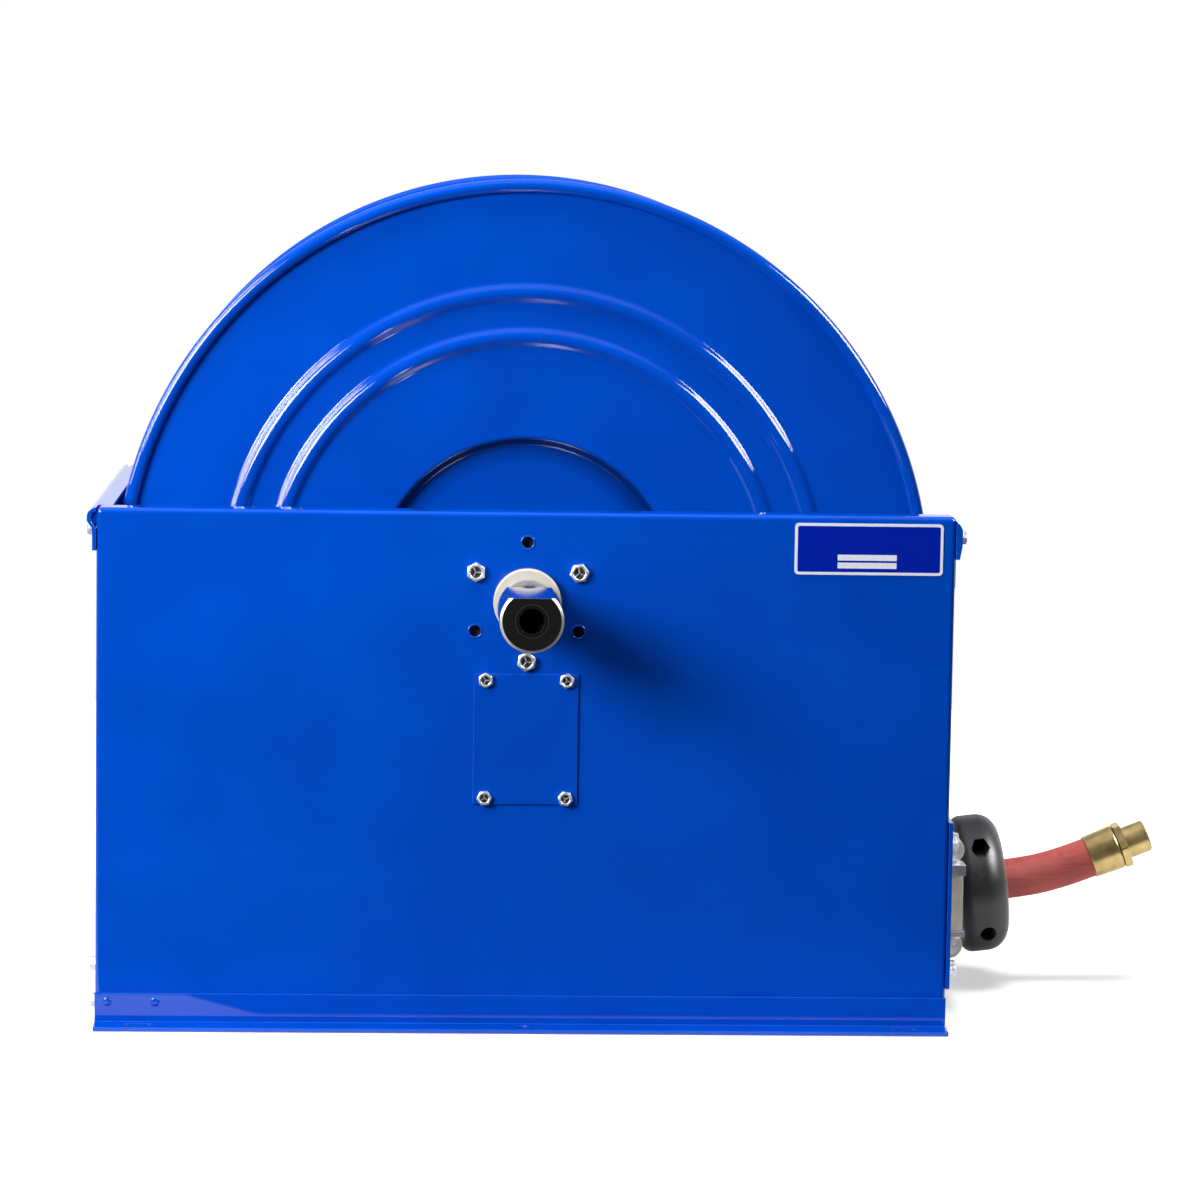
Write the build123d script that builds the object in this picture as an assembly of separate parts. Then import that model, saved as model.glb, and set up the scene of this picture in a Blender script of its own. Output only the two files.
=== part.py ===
from build123d import *
import math
import os

# Spring-rewind fire hose reel. Millimetres, +Z up.
# Origin: centre of the four corner slots of the base, on the floor plane.
# +X points out of the hose outlet, +Y from the swivel side to the spring side.

# ---------------------------------------------------------------- frame
SHEET = 3.0
DISC_FLOOR_CLEARANCE = 10.0
DISC_END_CLEARANCE = 8.0
MOTOR_CLEARANCE = 24.0
HOUSING_TOP_CLEARANCE = 9.0
PANEL_FLANGE = 22.0
BEND_RADIUS = 4.0
FOOT_LEG = 24.5
FOOT_WIDTH = 25.0
FOOT_SHEET = 3.0
SLOT_INSET = 33.0
SLOT_LENGTH = 20.0
SLOT_WIDTH = 9.0
SLOT_OFFSET = 14.0
MIDDLE_HOLE_RADIUS = 4.5

# ---------------------------------------------------------------- drum
DISC_RADIUS = 312.0
DRUM_WIDTH = 188.0
DISC_SHEET = 2.0
RIM_BEAD = 10.4
RIB_HEIGHT = 7.0
RIB_WIDTH = 18.0
RIB_RADII = (225.5, 192.0)
CORE_RADIUS = 125.0
RECESS_MARGIN = 8.5
RECESS_CONE_RUN = 10.5
RECESS_DEPTH = 10.0
CORE_SHEET = 2.0
TIE_CIRCLE = 58.0
TIE_RADIUS = 4.0
TIE_COUNT = 4
HUB_PLATE_RADIUS = 72.0
HUB_PLATE_SHEET = 5.0

# ---------------------------------------------------------------- shafts, bearings and swivel
AXLE_RADIUS = 17.5
AXLE_BORE = 9.5
SPIGOT_RADIUS = 12.5
AXLE_END_WALL = 8.0
AXLE_PORT_MARGIN = 2.0
RISER_RADIUS = 13.0
COLLAR_RADIUS = 25.3
COLLAR_WIDTH = 8.0
FACE_GAP = 0.5
RUNNING_GAP = 0.05
SWIVEL_RADIUS = 23.3
SWIVEL_REACH = 125.0
SWIVEL_LENGTH = 74.0
SWIVEL_FLAT_HEIGHT = 16.6
SWIVEL_CHAMFER = 1.8
INLET_RADIUS = 9.1
INLET_DEPTH = 20.0
SEAT_WALL = 10.0
SEAL_WIDTH = 6.0
SEAL_DEPTH = 3.2
SNAP_RING_WIDTH = 2.2
SNAP_RING_DEPTH = 2.6
SNAP_RING_INSET = 8.0
BOLT_CIRCLE = 89.0
FLANGE_BOLTS = 3
BEARING_WIDTH = 14.0
NEAR_BEARING_OUTER = 31.0
FAR_BEARING_OUTER = 27.5
RACE_WALL = 4.2
BALL_GAP = 0.15
BALL_COUNT = 9
HOUSING_FLANGE_RADIUS = 55.0
HOUSING_FLANGE_SHEET = 5.0
HOUSING_WALL = 5.4
ARBOR_RADIUS = 15.0

# ---------------------------------------------------------------- spring motor and ratchet
CASE_CLEARANCE = 3.0
CASE_SHEET = 3.0
CASE_DEPTH = 66.0
SPRING_STRIP = 1.5
SPRING_TURNS = 7
SPRING_INNER_RADIUS = 19.0
SPRING_END_GAP = 0.3
RATCHET_RADIUS = 78.0
RATCHET_ROOT_RADIUS = 68.0
RATCHET_TEETH = 12
RATCHET_SHEET = 8.0
PAWL_SHEET = 5.0
PAWL_PIVOT_X = -16.0
PAWL_PIVOT_DROP = 91.0
PAWL_BOSS = 9.0
PAWL_PIN_RADIUS = 5.0

# ---------------------------------------------------------------- cover and latch plates
WINDOW_WIDTH = 46.0
WINDOW_HEIGHT = 70.0
WINDOW_DROP = 103.0
COVER_WIDTH = 78.0
COVER_HEIGHT = 98.0
COVER_SHEET = 2.0
COVER_BOLT_SPACING_X = 60.6
COVER_BOLT_SPACING_Z = 88.8
NAMEPLATE_WIDTH = 111.2
NAMEPLATE_HEIGHT = 38.6
NAMEPLATE_SHEET = 0.8
NAMEPLATE_INSET = 9.8
NAMEPLATE_DROP = 5.5

# ---------------------------------------------------------------- cross-members
MEMBER_LEG = 32.0
MEMBER_TOP_WIDTH = 11.0
NOSE_REACH = 7.0
LOWER_MEMBER_HEIGHT = 54.0
LOWER_MEMBER_FLANGE = 25.0
LOWER_BOLT_HEIGHT = 16.8
LOWER_BOLT_SPACING = 27.6
TIE_BAR_HEIGHT = 32.0
TIE_BAR_INSET = 24.0
TIE_EAR_WIDTH = 45.0
TIE_EAR_LAP = 8.0
TIE_EAR_BOW = 4.8
GUIDE_PLATE_BOTTOM = 31.0
GUIDE_PLATE_HEIGHT = 127.0
GUIDE_BOLT_RISE = 13.5
GUIDE_BOLT_DROP = 16.0

# ---------------------------------------------------------------- hose guide
GUIDE_HEIGHT = 85.0
GUIDE_OPENING_HEIGHT = 54.6
GUIDE_OPENING_WIDTH = 228.0
LEVEL_ROLLER_RADIUS = 10.0
UPRIGHT_ROLLER_RADIUS = 8.0
ROLLER_PIN_RADIUS = 3.5
BRACKET_SHEET = 3.0
UPPER_BLOCK = 8.0
LOWER_BLOCK = 4.2
BLOCK_OVERHANG = 10.0
BLOCK_FRONT_MARGIN = 0.5
GUIDE_WINDOW_MARGIN = 4.0
EAR_INSET = 7.0
EAR_FRONT_MARGIN = 5.5
UPPER_EAR_HEIGHT = 14.7
LOWER_EAR_HEIGHT = 16.9
EAR_CORNER = 4.0
UPRIGHT_SPAN = 43.6
BRACKET_BELOW = 26.0
BRACKET_ABOVE = 33.0
BRACKET_WIDTH = 36.0
BRACKET_SCREW_OFFSET = 14.0
BRACKET_SCREW_INSET = 31.0
BRACKET_SCREW_LENGTH = 12.0
BRACKET_NUT_HEIGHT = 4.0
PIN_HEAD_HEIGHT = 2.5

# ---------------------------------------------------------------- fasteners
LARGE_BOLT = 3.97
SMALL_BOLT = 3.1
BOLT_HOLE_GAP = 0.25
HEAD_PER_BOLT = 3.2
HEAD_HEIGHT_PER_BOLT = 1.3

# ---------------------------------------------------------------- hose
HOSE_DIAMETER = 31.8
HOSE_LAYER_GAP = 0.3
FULL_LAYERS = 3
LAYER_PITCH = 31.9
BUMPER_RADIUS = 54.4
BUMPER_WIDTH = 37.6
BUMPER_FRONT_ROUND = 17.0
BUMPER_BACK_ROUND = 9.0
BUMPER_BORE_GAP = 0.4
BUMPER_SPLIT_GAP = 0.6
BUMPER_SCREW_OFFSET = 34.5
BUMPER_SCREW_RADIUS = 3.0
FERRULE_RADIUS = 17.8
FERRULE_TIP_RADIUS = 17.0
FERRULE_LENGTH = 24.5
FERRULE_SHOULDER = 1.8
FLANGE_GAP = 0.6
FLANGE_ACROSS = 34.0
FLANGE_WIDTH = 5.8
NIPPLE_RADIUS = 12.8
NIPPLE_BORE = 9.5
NIPPLE_LENGTH = 18.5

# The free hose, from where it leaves the drum to the fitting, in the plane Y = 0.
HOSE_ROUTE = [
    (-7.7, 0.0, 84.8),
    (60.0, 0.0, 82.3),
    (150.0, 0.0, 78.0),
    (246.0, 0.0, 74.8),
    (328.0, 0.0, 74.1),
    (390.0, 0.0, 81.3),
    (427.5, 0.0, 87.9),
    (457.0, 0.0, 99.75),
]

# ---------------------------------------------------------------- places worked out from the sizes
RECESS_RADIUS = CORE_RADIUS - RECESS_MARGIN
RECESS_FLOOR_RADIUS = RECESS_RADIUS - RECESS_CONE_RUN
RECESS_FACE = DRUM_WIDTH / 2 + DISC_SHEET - RECESS_DEPTH
CASE_RADIUS = RECESS_FLOOR_RADIUS - CASE_CLEARANCE
CASE_BACK = RECESS_FACE
CASE_FRONT = CASE_BACK + CASE_DEPTH
CASE_LID_FACE = CASE_FRONT + CASE_SHEET
RATCHET_BACK = CASE_LID_FACE
AXIS_HEIGHT = DISC_RADIUS + DISC_FLOOR_CLEARANCE
FRAME_LENGTH = 2 * (DISC_RADIUS + DISC_END_CLEARANCE)
FRAME_WIDTH = 2 * (RATCHET_BACK + RATCHET_SHEET + MOTOR_CLEARANCE + HOUSING_FLANGE_SHEET + SHEET)
FRAME_HEIGHT = AXIS_HEIGHT + HOUSING_FLANGE_RADIUS + HOUSING_TOP_CLEARANCE + SHEET
FRONT = FRAME_LENGTH / 2
REAR = -FRAME_LENGTH / 2
NEAR_FACE = -FRAME_WIDTH / 2
FAR_FACE = FRAME_WIDTH / 2
NEAR_WALL = NEAR_FACE + SHEET
FLANGE_BOLT_Y = FRAME_WIDTH / 2 - PANEL_FLANGE / 2
BOLT_CIRCLE_RADIUS = BOLT_CIRCLE / 2
SWIVEL_FRONT = NEAR_FACE - SWIVEL_REACH
SWIVEL_REAR = SWIVEL_FRONT + SWIVEL_LENGTH
SPIGOT_TIP = SWIVEL_FRONT + INLET_DEPTH + SEAT_WALL
SPIGOT_SHOULDER = SWIVEL_REAR + FACE_GAP
WINDOW_HEIGHT_CENTRE = AXIS_HEIGHT - WINDOW_DROP
GUIDE_LOW = GUIDE_HEIGHT - GUIDE_OPENING_HEIGHT / 2
GUIDE_HIGH = GUIDE_HEIGHT + GUIDE_OPENING_HEIGHT / 2
GUIDE_PLATE_FACE = FRONT + SHEET
LEVEL_ROLLER_X = GUIDE_PLATE_FACE + FACE_GAP + LEVEL_ROLLER_RADIUS
BRACKET_FACE = GUIDE_PLATE_FACE + BRACKET_SHEET
UPRIGHT_ROLLER_X = BRACKET_FACE - 1.0 + UPRIGHT_ROLLER_RADIUS
UPRIGHT_ROLLER_Y = GUIDE_OPENING_WIDTH / 2 + UPRIGHT_ROLLER_RADIUS
EAR_Y = GUIDE_OPENING_WIDTH / 2 - EAR_INSET
PAWL_Y = RATCHET_BACK + 2.4


def slab(x0, x1, y0, y1, z0, z1):
    """Box between two opposite corners."""
    centre = Pos((x0 + x1) / 2, (y0 + y1) / 2, (z0 + z1) / 2)
    return centre * Box(x1 - x0, y1 - y0, z1 - z0)


def rod(axis, radius, start, end, u=0.0, v=0.0):
    """Cylinder along a row axis from start to end; u and v are its other two coordinates in order."""
    turns = {
        "x": Pos((start + end) / 2, u, v) * Rot(0, 90, 0),
        "y": Pos(u, (start + end) / 2, v) * Rot(90, 0, 0),
        "z": Pos(u, v, (start + end) / 2),
    }
    return turns[axis] * Cylinder(radius, abs(end - start))


def hub_rod(radius, start, end):
    """Cylinder on the drum axis."""
    return rod("y", radius, start, end, 0.0, AXIS_HEIGHT)


def hub_ring(outer, inner, start, end):
    """Tube on the drum axis."""
    return hub_rod(outer, start, end) - hub_rod(inner, start - 1, end + 1)


def far_side(shape):
    """Mirror image of a near-side piece, on the far side."""
    return mirror(shape, about=Plane.XZ)


def circle_places(radius, count, first_angle):
    """X, Z places spaced evenly round the drum axis."""
    for index in range(count):
        angle = math.radians(first_angle + index * 360.0 / count)
        yield radius * math.cos(angle), AXIS_HEIGHT + radius * math.sin(angle)


def fastener(place, outward, grip, radius, nut=True):
    """Hex bolt with its head outside, shank through the grip and a nut behind it."""
    across = HEAD_PER_BOLT * radius
    head_height = HEAD_HEIGHT_PER_BOLT * radius
    hexagon = RegularPolygon(across / 2, 6, major_radius=False)
    head = extrude(hexagon, amount=head_height)
    length = grip + (head_height + 1.5 if nut else 0.0)
    shape = head + Pos(0, 0, -length / 2) * Cylinder(radius, length)
    if nut:
        shape += Pos(0, 0, -grip - head_height) * extrude(hexagon, amount=head_height)
    return Plane(origin=place, z_dir=outward) * shape


# ---------------------------------------------------------------- side frames
def swivel_hole_pattern(depth):
    """Shaft hole and its ring of six bolt holes, cut through both side panels."""
    cutter = hub_rod(AXLE_RADIUS + 3.0, *depth)
    for x, z in circle_places(BOLT_CIRCLE_RADIUS, 2 * FLANGE_BOLTS, 30.0):
        cutter += rod("y", LARGE_BOLT + BOLT_HOLE_GAP, *depth, x, z)
    return cutter


def plate_bolt_places():
    for x in (-COVER_BOLT_SPACING_X / 2, COVER_BOLT_SPACING_X / 2):
        for z in (-COVER_BOLT_SPACING_Z / 2, COVER_BOLT_SPACING_Z / 2):
            yield x, WINDOW_HEIGHT_CENTRE + z


def front_bolt_heights():
    """Heights of the guide plate's two bolts in each front flange."""
    return GUIDE_PLATE_BOTTOM + GUIDE_BOLT_RISE, GUIDE_PLATE_BOTTOM + GUIDE_PLATE_HEIGHT - GUIDE_BOLT_DROP


def top_bolt_height():
    return FRAME_HEIGHT - MEMBER_LEG / 2


def lower_bolt_heights():
    return LOWER_BOLT_HEIGHT, LOWER_BOLT_HEIGHT + LOWER_BOLT_SPACING


def side_panel():
    """Folded sheet panel: face, top flange and two end flanges, open at the bottom."""
    pan = slab(REAR, FRONT, NEAR_FACE, NEAR_FACE + PANEL_FLANGE, 0, FRAME_HEIGHT)
    bends = [
        edge for edge in pan.edges()
        if abs(edge.center().Y - NEAR_FACE) < 0.01 and edge.center().Z > 1
    ]
    bends += [
        edge for edge in pan.edges()
        if edge.center().Z > FRAME_HEIGHT - 0.01 and abs(abs(edge.center().X) - FRONT) < 0.01
    ]
    pan = fillet(bends, BEND_RADIUS)
    pan -= slab(REAR + SHEET, FRONT - SHEET, NEAR_WALL, 0, -1, FRAME_HEIGHT - SHEET)
    depth = (NEAR_FACE - 1, NEAR_WALL + 1)
    pan -= swivel_hole_pattern(depth)
    window = slab(
        -WINDOW_WIDTH / 2, WINDOW_WIDTH / 2, *depth,
        WINDOW_HEIGHT_CENTRE - WINDOW_HEIGHT / 2, WINDOW_HEIGHT_CENTRE + WINDOW_HEIGHT / 2,
    )
    pan -= fillet(window.edges().filter_by(Axis.Y), 5.0)
    for x, z in plate_bolt_places():
        pan -= rod("y", SMALL_BOLT + BOLT_HOLE_GAP, *depth, x, z)
    end_holes = [(FRONT, LARGE_BOLT, z) for z in front_bolt_heights()]
    end_holes += [(REAR, SMALL_BOLT, z) for z in lower_bolt_heights()]
    end_holes += [(end, SMALL_BOLT, top_bolt_height()) for end in (FRONT, REAR)]
    for end, bolt, z in end_holes:
        pan -= rod("x", bolt + BOLT_HOLE_GAP, end - SHEET - 1, end + SHEET + 1, -FLANGE_BOLT_Y, z)
    return pan


def foot_angle():
    """Angle welded along the panel's lower edge, with a slot near each end and a round middle hole."""
    upright = slab(REAR, FRONT, NEAR_FACE - FOOT_SHEET, NEAR_FACE, 0, FOOT_LEG)
    sole = slab(REAR, FRONT, NEAR_FACE - FOOT_WIDTH, NEAR_FACE, 0, FOOT_SHEET)
    angle = upright + sole
    for x in (REAR + SLOT_INSET, FRONT - SLOT_INSET):
        slot = extrude(SlotOverall(SLOT_LENGTH, SLOT_WIDTH), amount=FOOT_SHEET + 2)
        angle -= Pos(x, NEAR_FACE - SLOT_OFFSET, -1) * slot
    return angle - rod("z", MIDDLE_HOLE_RADIUS, -1, FOOT_SHEET + 1, 0.0, NEAR_FACE - SLOT_OFFSET)


def rear_top_member():
    """Rear cross-member with a rounded nose along its top bend."""
    top = FRAME_HEIGHT
    nose = NOSE_REACH
    outer = [
        (REAR, top), (REAR - nose, top - nose), (REAR - nose, top - nose - 3), (REAR - SHEET, top - nose - 9),
        (REAR - SHEET, top - MEMBER_LEG), (REAR, top - MEMBER_LEG), (REAR, top - nose - 9),
        (REAR - nose + SHEET, top - nose - 3), (REAR - nose + SHEET, top - nose), (REAR, top - SHEET),
    ]
    with BuildLine() as rim:
        RadiusArc(outer[0], outer[1], -nose)
        Polyline(*outer[1:9])
        RadiusArc(outer[8], outer[9], nose - SHEET)
        Line(outer[9], outer[0])
    profile = Plane.XZ * make_face(rim.line)
    half = FRAME_WIDTH / 2
    member = Pos(0, half, 0) * extrude(profile, amount=FRAME_WIDTH)
    inner = half - PANEL_FLANGE - FACE_GAP
    member += slab(REAR, REAR + MEMBER_TOP_WIDTH, -inner, inner, top - SHEET, top)
    for y in (-FLANGE_BOLT_Y, FLANGE_BOLT_Y):
        seat = top_bolt_height()
        member -= rod("x", SMALL_BOLT + BOLT_HOLE_GAP, REAR - SHEET - 1, REAR + 1, y, seat)
        member -= rod("x", SMALL_BOLT * 2.1, REAR - 3 * SHEET, REAR - SHEET, y, seat)
    return member


def rear_lower_member():
    """Flanged plate between the panels, bolted inside their rear flanges."""
    half = FRAME_WIDTH / 2 - SHEET
    face = REAR + SHEET
    member = slab(face, face + SHEET, -half, half, 0, LOWER_MEMBER_HEIGHT)
    member += slab(face, face + LOWER_MEMBER_FLANGE, -half, half, LOWER_MEMBER_HEIGHT, LOWER_MEMBER_HEIGHT + SHEET)
    for y in (-FLANGE_BOLT_Y, FLANGE_BOLT_Y):
        for z in lower_bolt_heights():
            member -= rod("x", SMALL_BOLT + BOLT_HOLE_GAP, face - 1, face + SHEET + 1, y, z)
    return member


def front_top_tie():
    """Tie bar between the front edges, with a bowed ear at each end for the panel's top bolt."""
    half = FRAME_WIDTH / 2
    low = FRAME_HEIGHT - MEMBER_LEG
    reach = half - TIE_BAR_INSET
    tie = slab(FRONT, FRONT + SHEET, -reach, reach, low + TIE_EAR_LAP - TIE_BAR_HEIGHT, low + TIE_EAR_LAP)
    bow = FRONT + TIE_EAR_BOW
    seat = top_bolt_height()
    outline = [
        (FRONT, FRAME_HEIGHT - SHEET), (FRONT + SHEET, FRAME_HEIGHT - 2 * SHEET), (bow, seat + 6.0),
        (bow, seat - 6.0), (FRONT + SHEET, low), (FRONT, low),
    ]
    for y in (half, -half + TIE_EAR_WIDTH):
        tie += Pos(0, y, 0) * extrude(Plane.XZ * make_face(Polyline(*outline, close=True)), amount=TIE_EAR_WIDTH)
    for y in (-FLANGE_BOLT_Y, FLANGE_BOLT_Y):
        tie -= rod("x", SMALL_BOLT + BOLT_HOLE_GAP, FRONT - 1, bow + 1, y, seat)
    return tie


def front_guide_plate():
    """Front plate with the hose window, bolted to both front flanges."""
    half = FRAME_WIDTH / 2
    plate = slab(FRONT, GUIDE_PLATE_FACE, -half, half, GUIDE_PLATE_BOTTOM, GUIDE_PLATE_BOTTOM + GUIDE_PLATE_HEIGHT)
    reach = GUIDE_OPENING_WIDTH / 2 + GUIDE_WINDOW_MARGIN
    window = slab(FRONT - 1, GUIDE_PLATE_FACE + 1, -reach, reach, GUIDE_LOW - 1, GUIDE_HIGH + 1)
    plate -= fillet(window.edges().filter_by(Axis.X), 8.0)
    for side in (-1, 1):
        for z in front_bolt_heights():
            plate -= rod("x", LARGE_BOLT + BOLT_HOLE_GAP, FRONT - 1, GUIDE_PLATE_FACE + 1, side * FLANGE_BOLT_Y, z)
        for z in bracket_screw_heights():
            plate -= rod("x", SMALL_BOLT + BOLT_HOLE_GAP, FRONT - 1, GUIDE_PLATE_FACE + 1, side * bracket_screw_y(), z)
    return plate


def frame_bolts():
    """Bolts that join the cross-members and the guide plate to the panels' end flanges."""
    bolts = []
    for y in (-FLANGE_BOLT_Y, FLANGE_BOLT_Y):
        bolts.append(fastener((REAR - SHEET, y, top_bolt_height()), (-1, 0, 0), 2 * SHEET, SMALL_BOLT))
        bolts.append(fastener((FRONT + TIE_EAR_BOW, y, top_bolt_height()), (1, 0, 0), TIE_EAR_BOW + SHEET, SMALL_BOLT))
        for z in lower_bolt_heights():
            bolts.append(fastener((REAR, y, z), (-1, 0, 0), 2 * SHEET, SMALL_BOLT))
        for z in front_bolt_heights():
            bolts.append(fastener((GUIDE_PLATE_FACE, y, z), (1, 0, 0), 2 * SHEET, LARGE_BOLT))
    return Compound(children=bolts)


# ---------------------------------------------------------------- swivel side
def near_bearing_span():
    start = NEAR_WALL + HOUSING_FLANGE_SHEET + 3.0
    return start, start + BEARING_WIDTH


def near_bearing_housing():
    """Flange housing bolted behind the near panel; it carries the live axle's bearing."""
    start, end = near_bearing_span()
    flange = hub_rod(HOUSING_FLANGE_RADIUS, NEAR_WALL, NEAR_WALL + HOUSING_FLANGE_SHEET)
    boss = hub_rod(NEAR_BEARING_OUTER + HOUSING_WALL, NEAR_WALL, end)
    housing = flange + boss
    housing -= hub_rod(NEAR_BEARING_OUTER, start, end + 1)
    housing -= hub_rod(AXLE_RADIUS + 6.0, NEAR_WALL - 1, end + 1)
    for x, z in circle_places(BOLT_CIRCLE_RADIUS, 2 * FLANGE_BOLTS, 30.0):
        housing -= rod("y", LARGE_BOLT + BOLT_HOLE_GAP, NEAR_WALL - 1, NEAR_WALL + HOUSING_FLANGE_SHEET + 1, x, z)
    return housing


def flange_bolt_set(face, outward, grip):
    """Three bolts on the bolt circle, in every second hole."""
    bolts = []
    for x, z in circle_places(BOLT_CIRCLE_RADIUS, FLANGE_BOLTS, 30.0):
        bolts.append(fastener((x, face, z), (0, outward, 0), grip, LARGE_BOLT))
    return Compound(children=bolts)


def bearing_rings(outer, inner, span):
    """Outer ring, and inner ring with its balls, of a ball bearing on the drum axis."""
    outer_ring = hub_ring(outer, outer - RACE_WALL, *span)
    inner_ring = hub_ring(inner + RACE_WALL, inner, *span)
    middle = (outer + inner) / 2
    ball_radius = (outer - inner) / 2 - RACE_WALL - BALL_GAP
    balls = [
        Pos(x, (span[0] + span[1]) / 2, z) * Sphere(ball_radius)
        for x, z in circle_places(middle, BALL_COUNT, 0.0)
    ]
    return outer_ring, Compound(children=[inner_ring, *balls])


def axle_collar():
    """Collar that locks the axle against the face of the near panel."""
    collar = hub_ring(COLLAR_RADIUS, AXLE_RADIUS, NEAR_FACE - FACE_GAP - COLLAR_WIDTH, NEAR_FACE - FACE_GAP)
    rims = collar.edges().filter_by(GeomType.CIRCLE).filter_by(lambda edge: edge.radius > AXLE_RADIUS + 1)
    return chamfer(rims, 0.8)


def hollow_axle():
    """Live axle: water passes from the swivel, through it, to the riser inside the drum."""
    bore_end = riser_y() + AXLE_BORE + AXLE_PORT_MARGIN
    inner_end = bore_end + AXLE_END_WALL
    axle = hub_rod(AXLE_RADIUS, SPIGOT_SHOULDER, inner_end) + hub_rod(SPIGOT_RADIUS, SPIGOT_TIP, SPIGOT_SHOULDER)
    axle -= hub_rod(AXLE_BORE, SPIGOT_TIP - 1, bore_end)
    axle -= rod("z", AXLE_BORE, AXIS_HEIGHT, AXIS_HEIGHT + AXLE_RADIUS + 1, 0.0, riser_y())
    axle -= hub_ring(SPIGOT_RADIUS + 1, SPIGOT_RADIUS - 1.2, *snap_groove())
    return axle


def riser_y():
    return -RECESS_FACE + DISC_SHEET + HUB_PLATE_SHEET + FACE_GAP + RISER_RADIUS


def snap_groove():
    rear = SWIVEL_REAR - SNAP_RING_INSET
    return rear - SNAP_RING_WIDTH, rear


def gooseneck_riser():
    """Riser that takes the water from the axle out to the drum core."""
    top = AXIS_HEIGHT + CORE_RADIUS - CORE_SHEET - 1.0
    riser = rod("z", RISER_RADIUS, AXIS_HEIGHT, top, 0.0, riser_y())
    riser -= rod("z", AXLE_BORE, AXIS_HEIGHT, top + 1, 0.0, riser_y())
    return riser - hub_rod(AXLE_RADIUS, -FRAME_WIDTH, 0)


def swivel_body():
    """Chromed swivel body with one milled flat, threaded inlet and a bore for the axle spigot."""
    body = hub_rod(SWIVEL_RADIUS, SWIVEL_FRONT, SWIVEL_REAR)
    body = chamfer(body.edges().group_by(Axis.Y)[0], SWIVEL_CHAMFER)
    flat_floor = AXIS_HEIGHT + SWIVEL_FLAT_HEIGHT
    body -= slab(-SWIVEL_RADIUS, SWIVEL_RADIUS, SWIVEL_FRONT - 1, SWIVEL_REAR + 1, flat_floor, AXIS_HEIGHT + SWIVEL_RADIUS)
    body -= hub_rod(INLET_RADIUS, SWIVEL_FRONT - 1, SWIVEL_FRONT + INLET_DEPTH)
    body -= hub_rod(AXLE_BORE - 1.5, SWIVEL_FRONT, SPIGOT_TIP + 1)
    body -= hub_rod(SPIGOT_RADIUS + RUNNING_GAP, SPIGOT_TIP - FACE_GAP, SWIVEL_REAR + 1)
    body -= hub_rod(seal_radius(), *seal_span())
    start, end = snap_groove()
    body -= hub_rod(SPIGOT_RADIUS + SNAP_RING_DEPTH, start + 0.2, end - 0.2)
    return body


def seal_radius():
    return SPIGOT_RADIUS + SEAL_DEPTH


def seal_span():
    start = SPIGOT_TIP + SEAL_WIDTH
    return start, start + SEAL_WIDTH


def swivel_seal():
    """Rubber seal ring between the spigot and the swivel body."""
    return hub_ring(seal_radius(), SPIGOT_RADIUS + RUNNING_GAP, *seal_span())


def swivel_snap_ring():
    """Ring in the spigot's groove that keeps the swivel body on."""
    start, end = snap_groove()
    return hub_ring(SPIGOT_RADIUS + SNAP_RING_DEPTH, SPIGOT_RADIUS - 1.0, start + 0.2, end - 0.2)


def cover_plate(sheet, face, outward):
    """Rectangular plate over the panel's window."""
    y0, y1 = sorted((face, face + outward * sheet))
    plate = slab(
        -COVER_WIDTH / 2, COVER_WIDTH / 2, y0, y1,
        WINDOW_HEIGHT_CENTRE - COVER_HEIGHT / 2, WINDOW_HEIGHT_CENTRE + COVER_HEIGHT / 2,
    )
    for x, z in plate_bolt_places():
        plate -= rod("y", SMALL_BOLT + BOLT_HOLE_GAP, y0 - 1, y1 + 1, x, z)
    return plate


def plate_bolts(face, outward, sheet):
    bolts = []
    for x, z in plate_bolt_places():
        bolts.append(fastener((x, face + outward * sheet, z), (0, outward, 0), sheet + SHEET, SMALL_BOLT))
    return Compound(children=bolts)


def nameplate():
    """Blank plate in the near panel's upper front corner."""
    right = FRONT - NAMEPLATE_INSET
    top = FRAME_HEIGHT - NAMEPLATE_DROP
    plate = slab(
        right - NAMEPLATE_WIDTH, right, NEAR_FACE - NAMEPLATE_SHEET, NEAR_FACE, top - NAMEPLATE_HEIGHT, top,
    )
    return fillet(plate.edges().filter_by(Axis.Y), 3.0)


# ---------------------------------------------------------------- drum
def disc_outline(shift):
    """One face of the drum disc, from the recess floor to the rim bead, as radius against depth."""
    face = -DRUM_WIDTH / 2 - DISC_SHEET + shift
    floor = face + RECESS_DEPTH
    pieces = [Line((0, floor), (RECESS_FLOOR_RADIUS, floor)), Line((RECESS_FLOOR_RADIUS, floor), (RECESS_RADIUS, face))]
    reached = RECESS_RADIUS
    for radius in sorted(RIB_RADII):
        start, end = radius - RIB_WIDTH / 2, radius + RIB_WIDTH / 2
        pieces.append(Line((reached, face), (start, face)))
        pieces.append(ThreePointArc((start, face), (radius, face - RIB_HEIGHT), (end, face)))
        reached = end
    pieces.append(Line((reached, face), (DISC_RADIUS - RIM_BEAD / 2, face)))
    return pieces


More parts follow.
